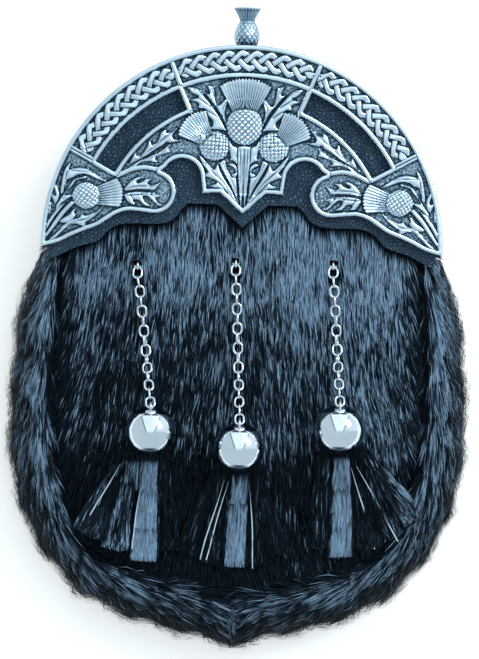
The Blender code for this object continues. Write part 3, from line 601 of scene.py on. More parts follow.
# Leaves of the left half, drawn on enlarged corners of the photograph. A corner is the place of its
# upper left pixel and its enlargement. Each leaf has its rise and its outline in the corner's pixels.
CENTRE_CORNER = (175.0, 75.0, 10.456)
END_CORNER = (35.0, 150.0, 10.814)
ARM_CORNER = (95.0, 110.0, 13.067)
LEAVES = (
    (CENTRE_CORNER, (
        (1.5, ((130, 135), (200, 140), (265, 180), (330, 250), (400, 340), (460, 430), (510, 520),
            (540, 590), (480, 580), (370, 572), (395, 535), (400, 500), (380, 470), (340, 430),
            (335, 410), (300, 365), (245, 355), (250, 310), (215, 290), (155, 265), (235, 245),
            (240, 225), (180, 200))),
        (1.6, ((320, 105), (370, 120), (405, 130), (415, 180), (420, 260), (440, 325), (480, 310),
            (530, 262), (545, 300), (530, 360), (520, 430), (535, 500), (545, 560), (520, 500),
            (475, 415), (415, 325), (350, 240), (290, 170), (340, 205), (365, 195), (350, 150))),
        (1.5, ((238, 820), (300, 880), (395, 990), (430, 960), (445, 920), (475, 1010), (530, 1110),
            (600, 1230), (665, 1380), (560, 1250), (500, 1180), (440, 1120), (340, 1075), (285, 1055),
            (345, 1020), (290, 940))),
        (1.2, ((350, 1165), (420, 1145), (450, 1125), (510, 1195), (590, 1290), (650, 1385),
            (560, 1300), (480, 1200), (420, 1185))),
        (1.4, ((460, 925), (520, 895), (545, 990), (590, 1070), (640, 1085), (650, 1250), (668, 1370),
            (610, 1215), (550, 1100), (500, 1010))),
        (1.2, ((545, 940), (600, 930), (640, 960), (652, 1010), (642, 1072), (590, 1062), (600, 1040),
            (632, 1030), (622, 990), (590, 965))),
        (1.3, ((545, 650), (600, 740), (650, 770), (655, 870), (650, 940), (610, 905), (570, 900),
            (580, 870), (570, 800))),
        (1.7, ((655, 755), (742, 755), (730, 900), (712, 1150), (688, 1395), (664, 1150), (652, 900))),
    )),
    (END_CORNER, (
        (1.5, ((400, 120), (385, 175), (375, 215), (470, 195), (560, 205), (640, 250), (700, 290),
            (765, 345), (680, 320), (600, 285), (540, 265), (460, 275), (400, 310), (350, 330),
            (330, 400), (310, 460), (285, 480), (280, 440), (290, 360), (310, 260), (345, 180))),
        (1.3, ((550, 285), (560, 310), (500, 318), (440, 340), (420, 380), (350, 450), (330, 490),
            (400, 490), (380, 520), (300, 570), (240, 645), (232, 600), (290, 520), (335, 450),
            (385, 375), (430, 320))),
        (1.1, ((210, 340), (240, 400), (268, 480), (250, 550), (220, 580), (190, 520), (180, 480),
            (215, 500), (230, 480), (215, 420))),
        (1.0, ((140, 600), (170, 560), (182, 620), (160, 685), (120, 665), (108, 630), (150, 650))),
        (1.6, ((398, 548), (432, 580), (320, 700), (200, 860), (75, 1000), (92, 955), (175, 820),
            (280, 670))),
        (1.2, ((362, 540), (282, 640), (190, 765), (104, 905), (92, 880), (150, 760), (240, 640))),
        (1.3, ((455, 620), (430, 680), (440, 720), (370, 785), (270, 785), (300, 742), (370, 700),
            (410, 650))),
        (1.3, ((520, 650), (512, 695), (560, 710), (640, 680), (745, 610), (700, 672), (620, 742),
            (545, 792), (560, 838), (500, 822), (440, 802), (380, 810), (300, 880), (220, 955),
            (120, 1000), (230, 900), (300, 822), (400, 762), (470, 742), (502, 700))),
        (1.4, ((960, 440), (1000, 380), (1060, 320), (1140, 290), (1152, 312), (1100, 342), (1110, 362),
            (1170, 342), (1200, 318), (1282, 318), (1240, 342), (1220, 370), (1260, 390), (1320, 370),
            (1372, 345), (1330, 400), (1290, 440), (1200, 432), (1100, 432), (1020, 442))),
        (1.4, ((965, 480), (1060, 456), (1150, 454), (1240, 464), (1330, 490), (1372, 512), (1312, 522),
            (1332, 570), (1392, 600), (1340, 612), (1270, 552), (1210, 502), (1172, 512), (1192, 560),
            (1252, 610), (1180, 602), (1130, 552), (1080, 542), (1070, 560), (1092, 600), (1030, 582),
            (980, 530))),
    )),
    (ARM_CORNER, (
        (1.5, ((330, 795), (430, 740), (480, 650), (530, 560), (545, 600), (600, 600), (640, 560),
            (690, 470), (700, 420), (735, 400), (740, 450), (790, 450), (830, 400), (860, 310),
            (890, 280), (960, 250), (930, 290), (960, 310), (1030, 270), (1110, 215), (1060, 280),
            (1020, 340), (1040, 390), (1150, 395), (1090, 420), (1000, 436), (930, 430), (900, 465),
            (800, 520), (745, 556), (700, 590), (640, 620), (560, 665), (480, 712), (400, 765))),
        (1.3, ((405, 785), (500, 724), (580, 675), (680, 634), (750, 600), (860, 548), (960, 462),
            (1000, 452), (960, 510), (980, 560), (880, 590), (800, 620), (790, 660), (840, 690),
            (760, 690), (700, 674), (600, 692), (500, 762))),
    )),
)
# Veins cut into the leaves
VEINS = (
    (CENTRE_CORNER, (
        ((190, 160), (270, 195), (345, 275), (420, 375), (480, 470), (530, 570)),
        ((240, 250), (300, 290), (370, 340)),
        ((290, 360), (370, 400), (440, 450)),
        ((380, 130), (395, 220), (430, 340), (490, 440)),
        ((525, 300), (500, 370), (500, 440)),
        ((300, 920), (400, 1030), (500, 1130), (590, 1260)),
        ((500, 930), (550, 1050), (610, 1160), (655, 1300)),
        ((680, 790), (684, 1000), (684, 1250)),
        ((715, 790), (706, 1000), (694, 1250)),
    )),
    (END_CORNER, (
        ((320, 420), (335, 320), (365, 230), (470, 232), (600, 250), (700, 310)),
        ((300, 540), (370, 450), (440, 360)),
        ((200, 900), (320, 830), (450, 770), (560, 750), (680, 660)),
        ((980, 430), (1080, 400), (1200, 395), (1300, 400)),
        ((990, 495), (1100, 490), (1220, 480), (1330, 500)),
        ((1030, 470), (1050, 520), (1080, 560)),
        ((1140, 460), (1170, 500), (1220, 570)),
        ((1250, 470), (1290, 520), (1350, 590)),
    )),
    (ARM_CORNER, (
        ((420, 755), (560, 640), (700, 550), (830, 440), (940, 350), (1060, 250)),
        ((560, 620), (600, 610)),
        ((760, 480), (740, 420)),
        ((470, 760), (600, 680), (740, 640), (860, 570), (950, 500)),
    )),
)
# The rib along the top of each end's lobe
SMALL_RIB = ((52.8, 28.8), (47.4, 31.3), (41.6, 32.4), (35.0, 31.2))
# A leaf's height at its edge, the width of its rounded edge and the depth of its veins
LEAF_LOW = 0.45
LEAF_EDGE = 1.15
VEIN_DEPTH = 0.55
# The plait's strands: half-width, swing from side to side and turns in each part of the band
STRAND = 1.27
SWING = 3.25
PLAIT_TURNS = (3.0, 10 / 3, 3.0)


def drawn(corner, points):
    """From an enlarged corner of the photograph to millimetres from the arch's centre."""
    left, top, enlarged = corner
    turn = math.radians(PHOTO_TURN)
    result = []
    for px, py in points:
        dx = (left + px / enlarged - PHOTO_CENTRE[0]) * PHOTO_SCALE
        dy = (PHOTO_CENTRE[1] - top - py / enlarged) * PHOTO_SCALE
        x = dx * math.cos(turn) - dy * math.sin(turn)
        y = dx * math.sin(turn) + dy * math.cos(turn)
        result.append((x, y - ARCH_Y))
    return result


def plait(x, y, height):
    """Three strands over and under each other, in each part of the band."""
    radius = np.hypot(x, y)
    angle = np.degrees(np.arctan2(x, y))
    ends = (-BAR_ANGLES[1] + 0.9, -BAR_ANGLES[0] - 0.8), (-BAR_ANGLES[0] + 0.8, BAR_ANGLES[0] - 0.8)
    ends += ((BAR_ANGLES[0] + 0.8, BAR_ANGLES[1] - 0.9),)
    for (first, last), periods in zip(ends, PLAIT_TURNS):
        along = np.radians(angle - first) * KNOT_RADIUS
        length = math.radians(last - first) * KNOT_RADIUS
        share = along / length
        swing = SWING * clamp(np.minimum(along, length - along) / 3.4) ** 0.8
        inside = (share > 0.0) & (share < 1.0)
        strands = []
        for k in range(3):
            phase = 2 * math.pi * (share * periods + k / 3)
            wave = 2 / math.pi * np.arcsin(0.93 * np.sin(phase)) / 0.76
            centre = KNOT_RADIUS + swing * np.clip(wave, -1.0, 1.0)
            tilt = 1.22 - 0.22 * np.abs(np.sin(phase)) ** 4
            distance = np.abs(radius - centre) / tilt
            level = np.sin(2 * phase)
            strands.append((distance, level))
        for k, (distance, level) in enumerate(strands):
            rise = 0.62 + 0.2 * level + 0.42 * (1 - clamp(distance / STRAND) ** 4) ** 0.5
            shown = inside & (distance < STRAND)
            for j, (other, above) in enumerate(strands):
                if j != k:
                    shown &= ~((above > level) & (other < STRAND + 0.32))
            height = np.where(shown, np.maximum(height, rise), height)
    return height


def tapered(x, y, points, top, height, vein=0.0, edge=1.0):
    """A rounded ridge along a line with its own half-width at each point."""
    distance, width = line_field(x, y, points)
    u = clamp(distance / width)
    rise = top * (1.0 - u ** 2) ** (0.5 * edge)
    if vein:
        rise -= vein * np.exp(-((distance / 0.28) ** 2)) * (width > 0.7)
    return np.where(u < 1.0, np.maximum(height, rise), height)


def local(x, y, points, margin=3.0):
    """The part of the grid around some points."""
    p = np.array([q[:2] for q in points])
    low, high = p.min(0) - margin, p.max(0) + margin
    columns = np.where((x[0] >= low[0]) & (x[0] <= high[0]))[0]
    rows = np.where((y[:, 0] >= low[1]) & (y[:, 0] <= high[1]))[0]
    return slice(rows[0], rows[-1] + 1), slice(columns[0], columns[-1] + 1)


def leaves(x, y, side, height):
    """Adds the leaves and the veins cut into them."""
    for corner, drawings in LEAVES:
        for rise, points in drawings:
            line = drawn(corner, points)
            line = [(-side * px, py) for px, py in rounded(line + line[:1], 3)[:-1]]
            where = local(x, y, line, 1.0)
            edge = outline_field(x[where], y[where], [line])
            u = clamp(edge / LEAF_EDGE)
            shape = LEAF_LOW + (rise - LEAF_LOW) * np.sqrt(1.0 - (1.0 - u) ** 2)
            height[where] = np.where(edge > 0.0, np.maximum(height[where], shape), height[where])
    for corner, drawings in VEINS:
        for points in drawings:
            line = [(-side * px, py) for px, py in rounded(drawn(corner, points))]
            where = local(x, y, line, 2.0)
            distance = line_field(x[where], y[where], line)[0]
            cut = VEIN_DEPTH * np.exp(-((distance / 0.3) ** 2))
            height[where] = np.where(height[where] > 0.5, height[where] - cut, height[where])


def bulb(x, y, side, row, height):
    """A thistle's hatched ball."""
    cx, cy, rx, ry, rise, hatch, cell = row
    u, v = x - side * cx, y - cy
    turn = math.radians(side * hatch)
    across = (u * math.cos(turn) + v * math.sin(turn)) / cell
    along = (-u * math.sin(turn) + v * math.cos(turn)) / cell
    rho = (u / rx) ** 2 + (v / ry) ** 2
    # cells crowd together towards the rim of the ball
    squeeze = 1.0 + 0.22 * clamp(rho)
    lattice = np.minimum(*[np.abs(np.sin(math.pi * way * squeeze)) for way in (across, along)])
    ball = 0.6 + (rise - 0.6) * np.sqrt(clamp(1.0 - rho))
    shape = ball - 0.6 * (1.0 - clamp(lattice * 1.7))
    return np.where(rho < 1.0, np.maximum(shape, 0.3), height)


def wrapped(angle):
    return (angle + math.pi) % (2 * math.pi) - math.pi


def crown(x, y, side, row, height):
    """A thistle's ribbed tuft: a fan about the point where its two sides meet."""
    neck_a, neck_b, outer_a, middle, outer_b = [Vector((side * px, py)) for px, py in row[:5]]
    ribs, rise = row[5:]
    da, db = neck_a - outer_a, neck_b - outer_b
    cross = da.x * db.y - da.y * db.x
    reach = ((outer_b.x - outer_a.x) * db.y - (outer_b.y - outer_a.y) * db.x) / cross
    apex = outer_a + da * reach
    axis = math.atan2(middle.y - apex.y, middle.x - apex.x)
    angle = wrapped(np.arctan2(y - apex.y, x - apex.x) - axis)
    first, last = [wrapped(math.atan2(p.y - apex.y, p.x - apex.x) - axis) for p in (outer_a, outer_b)]
    t = (angle - first) / (last - first)
    away = np.hypot(x - apex.x, y - apex.y)
    near = (neck_a - apex).length * (1 - t) + (neck_b - apex).length * t
    far_a, far_b, far_m = [(p - apex).length for p in (outer_a, outer_b, middle)]
    far = far_a * (1 - t) + far_b * t + (far_m - (far_a + far_b) / 2) * 4 * t * (1 - t)
    comb = np.abs(np.sin(math.pi * ribs * t))
    out = (away - near) / np.maximum(0.1, far - near)
    shape = 1.1 + (rise - 1.1) * clamp(out) - 0.7 * (1.0 - comb) * (1.2 - out)
    shown = (t > 0.0) & (t < 1.0) & (out > -0.12) & (out < 0.93 + 0.07 * comb) & (away < far + 1)
    return np.where(shown, np.maximum(shape, height * (out < 0.0)), height)


def bars(x, y, height):
    """The single bars inside the windows' ends, the double bars outside them and the rib under the plait."""
    for side in (-1, 1):
        for angle, below, half, vein in ((BAR_ANGLES[0], 1.5, 1.05, 0.0), (BAR_ANGLES[1], 1.8, 1.3, 0.75)):
            ends = (WINDOW[0] - below, CANTLE_RADIUS - 1.2)
            line = [polar(radius, side * angle) + (half,) for radius in ends]
            height = tapered(x, y, line, RIM_RISE, height, vein, 0.5)
    u = np.abs(np.hypot(x, y) - (WINDOW[1] + 1.05)) / 1.1
    angle = np.degrees(np.arctan2(x, y))
    rib = RIM_RISE * (1.0 - clamp(u) ** 4) ** 0.5
    return np.where((u < 1.0) & (np.abs(angle) < BAR_ANGLES[1] - 0.2), np.maximum(height, rib), height)


def cantle_relief(x, y, field, step):
    """Heights over the grid, and how dark the metal is in its recesses."""
    ground = 0.17 * speckle(x.shape, 0.2 / step, SEED) + 0.1
    height = np.zeros(x.shape)
    for side in (-1, 1):
        leaves(x, y, side, height)
        line = [(side * px, py, 1.0) for px, py in rounded(SMALL_RIB)]
        where = local(x, y, line)
        height[where] = tapered(x[where], y[where], line, RIM_RISE, height[where], 0.0, 0.5)
        for row in BULBS:
            height = bulb(x, y, side, row, height)
        for row in CROWNS:
            height = crown(x, y, side, row, height)
    height = bars(x, y, plait(x, y, height))
    height = np.where(height < 0.12, ground, height + 0.05 * speckle(x.shape, 0.7 / step, SEED + 1))
    # raised rim with a rounded outer edge
    u = clamp(np.abs(field - 1.0) / 1.05)
    rim = RIM_RISE * (1.0 - u ** 3) ** 0.6
    height = np.where(field < RIM + 0.1, np.maximum(rim, np.where(field < 1.0, -0.3, height * 0.4)), height)
    height = blur(height, 0.07 / step)
    spread = np.where(field > 0, height, 0.6)
    cavity = 1.5 * (blur(spread, 0.5 / step) - height) + 0.35 * (blur(spread, 1.6 / step) - height)
    depth = np.clip((0.5 - height) * 0.5, 0.0, 0.25)
    patina = clamp(0.22 + cavity + depth)
    return height + PLATE, {"patina": patina}


def cantle_low(x, y):
    """The plate's lower edge: a flange hangs down along the arch."""
    arch = (np.hypot(x, y) > CANTLE_RADIUS - 0.4) & (y > 8.9)
    return np.where(arch, -FLANGE, 0.0)


relief = (cantle_relief, cantle_low)
cantle = plate("cantle_cast", 0.3, [cantle_outline] + windows, *relief, CANTLE_BASE, SILVER, "antique_silver")
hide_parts("cantle")

# Leather behind the cantle
apron_side = rounded(APRON_EDGE[:11], 3) + list(APRON_EDGE[11:])
apron_arc = [polar(BAND_OUT, 90.0 - 180.0 * k / 90) for k in range(91)]
apron_outline = apron_arc + mirrored(apron_side) + [APRON_TIP] + list(reversed(apron_side))


def apron_relief(x, y, field, step):
    """Gently uneven leather with a rounded edge."""
    soft = speckle(x.shape, 4.0 / step, SEED + 2) * 0.12 + speckle(x.shape, 1.0 / step, SEED + 3) * 0.05
    u = clamp(field / 0.9)
    edge = -0.7 * (1.0 - np.sqrt(1.0 - (1.0 - u) ** 2))
    return LEATHER + edge + soft * clamp(field / 2.0) - 0.05, {}


def apron_low(x, y):
    return x * 0.0


relief = (apron_relief, apron_low)
apron = plate("apron_leather", 0.55, [apron_outline], *relief, LEATHER_BASE, LEATHER_FRONT, "black_leather")
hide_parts("leather_apron")


# The turned finial's profile: y, radius. Then its stem, its hatched ball and its ribbed crown.
FINIAL = (
    (83.35, 0.4), (83.35, 4.2), (84.0, 4.5), (84.6, 3.8), (86.0, 4.7), (88.0, 5.3),
    (90.0, 5.45), (92.0, 5.0), (94.0, 4.1), (95.3, 3.35), (96.4, 3.3), (98.0, 4.1),
    (99.8, 5.1), (101.0, 5.85), (101.5, 5.3), (101.1, 3.6), (100.5, 2.0), (100.4, 0.3),
)
FINIAL_STEM = ((79.3, 2.2), (83.3, 2.2))
FINIAL_BALL = (85.4, 94.6)
FINIAL_CROWN = 95.6
FINIAL_SIDES = 96
# Hatch lines round the ball and the height between two, and ribs round half of the crown
HATCHES = 14
HATCH_RISE = 1.55
RIBS = 12


def finial_groove(a, y, radius):
    """How deep the finial's surface is cut at a place, and how dark it is there."""
    cut, dark = 0.0, 0.18
    if FINIAL_BALL[0] < y < FINIAL_BALL[1]:
        climb = (y - 90.0) / HATCH_RISE
        around = a * HATCHES / (2 * math.pi)
        ridges = [abs(math.sin(math.pi * (around + way * climb / 2))) for way in (1, -1)]
        groove = max(0.0, 1.0 - min(ridges) * 2.0)
        cut = 0.38 * groove
        dark += 0.5 * groove
    if y > FINIAL_CROWN and radius > 3.0:
        groove = (1.0 - abs(math.sin(a * RIBS))) ** 1.5
        cut = 0.42 * groove
        dark += 0.45 * groove
    if y > 99.0 and radius < 3.0:
        dark = 0.55
    if 94.4 < y < 96.6:
        dark += 0.25
    return cut, dark


def finial():
    sections = []
    patina = [0.6] * (len(FINIAL_STEM) * FINIAL_SIDES)
    for y, r in FINIAL_STEM:
        sections.append([(r * math.cos(a), y, FINIAL_Z + r * math.sin(a)) for a in turns(FINIAL_SIDES)])
    for y, radius in rounded(FINIAL, 5):
        ring = []
        for a in turns(FINIAL_SIDES):
            cut, dark = finial_groove(a, y, radius)
            r = radius - cut
            ring.append((r * math.cos(a), y, FINIAL_Z + r * math.sin(a)))
            patina.append(dark)
        sections.append(ring)
    parts = Parts()
    parts.loft(sections)
    piece = parts.make("finial_thistle", SILVER, "antique_silver", attributes={"patina": patina}, sharp=55.0)
    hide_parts("finial")


finial()


# Chains and bells
def link_sections(length, width, wire, around=20, sides=8):
    """An oval link of round wire, lying flat."""
    radius = (width - wire) / 2
    straight = (length - width) / 2
    sections = []
    for k in range(around):
        angle = 2 * math.pi * (k + 0.5) / around
        centre = Vector((radius * math.cos(angle), radius * math.sin(angle), 0.0))
        centre.y += straight if centre.y > 0 else -straight
        out = Vector((math.cos(angle), math.sin(angle), 0.0))
        ring = []
        for turn in turns(sides):
            ring.append(centre + (out * math.cos(turn) + Vector((0, 0, 1)) * math.sin(turn)) * wire / 2)
        sections.append(ring)
    return sections


def placed(sections, matrix):
    return [[matrix @ p for p in ring] for ring in sections]


def aimed(centre, along, roll):
    """Puts a link at a centre, along a direction and rolled about it."""
    along = along.normalized()
    side = along.cross(Vector((0.0, 0.0, 1.0)))
    if side.length < 0.01:
        side = Vector((1.0, 0.0, 0.0))
    side.normalize()
    up = side.cross(along)
    basis = Matrix((side, along, up)).transposed().to_4x4()
    return Matrix.Translation(centre) @ basis @ Matrix.Rotation(roll, 4, "Y")


def along_path(path, distance):
    """The place a distance along a path, or straight on past its end."""
    for a, b in zip(path, path[1:]):
        step = (b - a).length
        if distance <= step:
            return a.lerp(b, distance / step)
        distance -= step
    return path[-1] + (path[-1] - path[-2]).normalized() * distance


def turned(profile, sides, matrix):
    """Rings of a profile of radii and heights about its axis."""
    rings = []
    for r, height in profile:
        rings.append([matrix @ Vector((r * math.cos(a), r * math.sin(a), height)) for a in turns(sides)])
    return rings


tilt = math.radians(BELL_TILT)
axis = Vector((0.0, math.cos(tilt), math.sin(tilt)))
upright = Vector((0.0, 0.0, 1.0)).rotation_difference(axis).to_matrix().to_4x4()
mouth_radius = math.sqrt(BELL_RADIUS ** 2 - BELL_MOUTH ** 2)
bell_centres = {}
# Below its slot the chain comes to lie on the fur, and above the bell it starts to rise
CHAIN_LIES = 5.5
CHAIN_RISES = 24.0
# The hidden bar that it hangs on: half-length, and how far it lies behind the fur
BAR_HALF = 6.0
BAR_BEHIND = 4.5
# The eye's centre above the bell's, and the small collar under it: radius, height
EYE_HEIGHT = BELL_RADIUS + EYE_RADIUS - 0.25
COLLAR = (
    (2.5, BELL_RADIUS - 0.32), (2.3, BELL_RADIUS + 0.1), (1.5, BELL_RADIUS + 0.42), (0.7, BELL_RADIUS + 0.5),
)


def bell_profile():
    """The dome from its top to the mouth, the rolled lip and the inside."""
    mouth = math.acos(-BELL_MOUTH / BELL_RADIUS)
    steps = [mouth * k / 24 for k in range(25)]
    profile = [(BELL_RADIUS * math.sin(angle), BELL_RADIUS * math.cos(angle)) for angle in steps]
    profile[0] = (0.02, BELL_RADIUS)
    radius, height = profile[-1]
    for k in range(1, 8):
        turn = math.pi * k / 8
        profile.append((radius - 0.35 + 0.35 * math.cos(turn), height - 0.42 * math.sin(turn)))
    hollow = BELL_RADIUS - BELL_WALL
    for k in range(10, -1, -1):
        angle = mouth * 0.97 * k / 10
        profile.append((max(0.02, hollow * math.sin(angle)), hollow * math.cos(angle)))
    return profile


def bell(name, bx, by):
    """A domed cap with its collar and eye, over the tassel's head."""
    bz = front_z(bx, by + 4.0) + BELL_MOUTH * math.sin(tilt) + mouth_radius * math.cos(tilt) + 0.5
    centre = Vector((bx, by, bz))
    bell_centres[name] = centre
    place = Matrix.Translation(centre) @ upright
    parts = Parts()
    parts.loft(turned(bell_profile(), 72, place))
    parts.loft(turned(COLLAR, 24, place))
    size = 2 * EYE_RADIUS + WIRE
    standing = place @ Matrix.Translation((0, 0, EYE_HEIGHT)) @ Matrix.Rotation(math.pi / 2, 4, "Y")
    parts.loft(placed(link_sections(size, size, WIRE, 28, 10), standing), True)
    # painted dark reflection near the picture's top and bottom, and a little round the edge, standing for the
    # dark room it mirrors
    offsets = [Vector(p) - centre for p in parts.points]
    facing = np.array([offset.normalized() for offset in offsets])
    painted_dark_reflection = clamp((np.abs(facing[:, 1]) - 0.64) / 0.06)
    painted_dark_reflection = np.maximum(painted_dark_reflection, 0.3 * clamp((0.72 - facing[:, 2]) / 0.04))
    away = np.array([offset.length for offset in offsets])
    painted_dark_reflection = np.where(away > BELL_RADIUS + 0.05, 0.0, painted_dark_reflection)
    attributes = {"painted_dark_reflection": painted_dark_reflection}
    piece = parts.make("bell_polished_" + name, CHROME, "bright_metal", attributes=attributes, sharp=50.0)
    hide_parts("bell_" + name)


def chain(name, sx, sy):
    """Links from a slot in the front to the bell's eye, each second one on edge."""
    top = front_z(sx, sy)
    goal = bell_centres[name] + axis * EYE_HEIGHT
    level = LINK_WIDTH / 2 + 0.35
    lies = sy - CHAIN_LIES
    path = [Vector((sx, sy - 0.4, top + 0.75)), Vector((sx, lies, front_z(sx, lies) + level))]
    rise = goal.y + CHAIN_RISES
    for k in range(1, 9):
        y = lies + (rise - sy + CHAIN_LIES) * k / 8
        x = sx + (goal.x - sx) * (y - sy) / (goal.y - sy)
        path.append(Vector((x, y, front_z(x, y) + level)))
    path.append(goal)
    length = sum((b - a).length for a, b in zip(path, path[1:]))
    count = 2 * round(((length - HOOK) / (LINK_LENGTH - WIRE - HOOK) - 1) / 2) + 1
    pitch = (length - HOOK) / count
    core = pitch + HOOK
    parts = Parts()
    standing = Matrix.Translation((sx, sy, top - 0.9)) @ Matrix.Rotation(math.pi / 2, 4, "Z")
    standing = standing @ Matrix.Rotation(math.pi / 2, 4, "X")
    parts.loft(placed(link_sections(LINK_LENGTH, LINK_WIDTH, WIRE), standing), True)
    for k in range(count):
        a = along_path(path, k * pitch)
        b = along_path(path, k * pitch + core)
        roll = math.pi / 2 if k % 2 else 0.0
        roll += (0.22 if 1 < k < count - 2 else 0.04) * math.sin(k * 1.9 + 0.6)
        link = link_sections(core + WIRE, LINK_WIDTH, WIRE)
        parts.loft(placed(link, aimed((a + b) / 2, b - a, roll)), True)
    # the plain bar behind the panel that the chain hangs on
    rings = []
    for x in (sx - BAR_HALF, sx + BAR_HALF):
        rings.append([(x, sy + math.cos(a), top - BAR_BEHIND + math.sin(a)) for a in turns(16)])
    parts.loft(rings)
    piece = parts.make("chain_links_" + name, CHAIN_METAL, "bright_metal", sharp=50.0)
    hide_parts("chain_" + name)


for label, (slot_x, slot_y, bell_x, bell_y) in CHAINS.items():
    bell(label, bell_x, bell_y)
    chain(label, slot_x, slot_y)


# Fur. Some spare hairs are drawn for the front, since those under the leather are dropped.
FRONT_HAIRS = 62000
FRONT_SPARE = 10000
BORDER_HAIRS = 116000
TASSEL_HAIRS = 14000
# How far the border's skin lies inside the outline that the hairs' ends reach
HAIR_ROOM = 3.2
# Locks of hair: across and along one, and how far the hairs' ends are drawn together
FRONT_LOCKS = ((0.45, 3.4), 0.3)
BORDER_LOCKS = ((0.5, 3.6), 0.24)
TASSEL_LOCKS = ((0.5, 4.0), 0.3)
# How dark a hair is at its darkest, and with painted shade where it shouldn't show
DEEP_SHADE = 0.04


def mesh_points(mesh):
    points = np.empty(len(mesh.vertices) * 3)
    mesh.vertices.foreach_get("co", points)
    return from_metres(points.reshape(-1, 3))


def surface_tree(mesh):
    mesh.calc_loop_triangles()
    faces = [tuple(triangle.vertices) for triangle in mesh.loop_triangles]
    return BVHTree.FromPolygons([vertex.co for vertex in mesh.vertices], faces)


def skin(obj, count, keep, rng):
    """Random places on a mesh, even by area, where keep allows: points and normals in millimetres."""
    mesh = obj.data
    mesh.calc_loop_triangles()
    points = mesh_points(mesh)
    corners = np.empty(len(mesh.loop_triangles) * 3, np.int32)
    mesh.loop_triangles.foreach_get("vertices", corners)
    corners = corners.reshape(-1, 3)
    a, b, c = points[corners[:, 0]], points[corners[:, 1]], points[corners[:, 2]]
    cross = np.cross(b - a, c - a)
    area = np.linalg.norm(cross, axis=1)
    normals = cross / np.maximum(1e-9, area)[:, None]
    weight = area * keep((a + b + c) / 3, normals)
    pick = rng.choice(len(corners), count, p=weight / weight.sum())
    u, v = rng.random(count), rng.random(count)
    flip = u + v > 1
    u[flip], v[flip] = 1 - u[flip], 1 - v[flip]
    place = a[pick] + (b[pick] - a[pick]) * u[:, None] + (c[pick] - a[pick]) * v[:, None]
    return place, normals[pick]


def waves(x, y, size, seed):
    """Slow noise from -1 to 1 over places in the plane, as wide as size, by a seed of its own."""
    rng = np.random.default_rng(seed)
    total = np.zeros(len(x))
    for k in range(7):
        angle = rng.random() * 2 * math.pi
        pitch = 2 * math.pi / (size * (0.6 + 0.9 * rng.random()))
        total += np.sin((x * math.cos(angle) + y * math.sin(angle)) * pitch + rng.random() * 6.28)
    return np.clip(total / 3.2, -1.0, 1.0)


def locks(roots, ends, size, pull, rng):
    """Draws the ends of the hairs together into locks, and gives each lock a number."""
    cell = np.floor(roots[:, :2] / np.array(size)).astype(np.int64)
    cell -= cell.min(0)
    width = cell[:, 0].max() + 1
    key = cell[:, 1] * width + cell[:, 0]
    unique, number = np.unique(key, return_inverse=True)
    weight = np.bincount(number)
    middle = np.stack([np.bincount(number, ends[:, k]) / weight for k in range(3)], 1)
    jitter = rng.normal(0.0, 0.2, (len(unique), 3)) * np.array([1.0, 1.0, 0.2])
    return ends + (middle[number] + jitter[number] - ends) * pull, number, len(unique)


def unit(vectors):
    return vectors / np.maximum(1e-9, np.linalg.norm(vectors, axis=1))[:, None]


def blades(name, roots, normals, along, length, lift, width, tone_and_light, rng, size, pull, floor=None):
    """Hairs as slim tapering ribbons of two pieces each, rolled at random about their own length."""
    count = len(roots)
    along = unit(along - normals * np.sum(along * normals, 1)[:, None])
    ends = roots + along * length[:, None] + normals * (lift * rng.uniform(0.35, 1.1, count))[:, None]
    ends, number, total = locks(roots, ends, size, pull, rng)
    middles = roots + (ends - roots) * 0.45 + normals * (lift * rng.uniform(0.5, 1.0, count))[:, None]
    if floor is not None:
        middles[:, 2] = np.maximum(middles[:, 2], floor)
        ends[:, 2] = np.maximum(ends[:, 2], floor)
    side = unit(np.cross(ends - roots, normals))
    roll = rng.normal(0.0, 0.55, count)
    side = side * np.cos(roll)[:, None] + normals * np.sin(roll)[:, None]
    half = (width / 2)[:, None]
    low, high = side * half * 0.8, side * half
    points = np.stack([roots - low, roots + low, middles + high, middles - high, ends], 1).reshape(-1, 3)
    base = np.arange(count)[:, None] * 5
    loops = (base + np.array([0, 1, 2, 3, 3, 2, 4])).ravel()
    sizes = np.tile([4, 3], count)
    # the painted light is the share of locks that catch the light, a painted highlight; the others stay
    # nearly black
    bright = rng.random(total)[number] * 0.6 + rng.random(count) * 0.4
    tone_and_light = np.clip((bright - 1.0 + tone_and_light) / 0.3 + 0.35, DEEP_SHADE, 1.0)
    # each hair is painted darker towards its root, as shade under the hairs above
    values = np.repeat(tone_and_light, 5).reshape(-1, 5) * np.array([0.45, 0.45, 0.9, 0.9, 1.0])
    make(name, points, loops, sizes, FUR, "black_fur", attributes={"tone_and_light": values.ravel()})


def paint(node, material):
    """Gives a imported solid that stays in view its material."""
    for slot in nodes[node].material_slots:
        slot.material = material


groove_line = rounded([row[:2] for row in BORDER], 4)
outer_line = rounded([row[2:] for row in BORDER], 4)
groove_line = mirrored(groove_line) + list(reversed(groove_line))
outer_line = mirrored(outer_line) + list(reversed(outer_line))


def nearest(points, line):
    """Distance to a line and the direction along it there, pointing down its own half to the bottom tip."""
    line = np.array(line)
    best = np.full(len(points), 1e9)
    tangent = np.zeros((len(points), 2))
    for a, b in zip(line, line[1:]):
        d = b - a
        size = np.dot(d, d)
        if size < 1e-9:
            continue
        t = clamp(((points[:, :2] - a) @ d) / size)
        away = np.linalg.norm(points[:, :2] - a - t[:, None] * d, axis=1)
        near = away < best
        best = np.where(near, away, best)
        down = d if (a[0] + b[0]) < 0 else -d
        tangent[near] = down / math.sqrt(size)
    return best, tangent


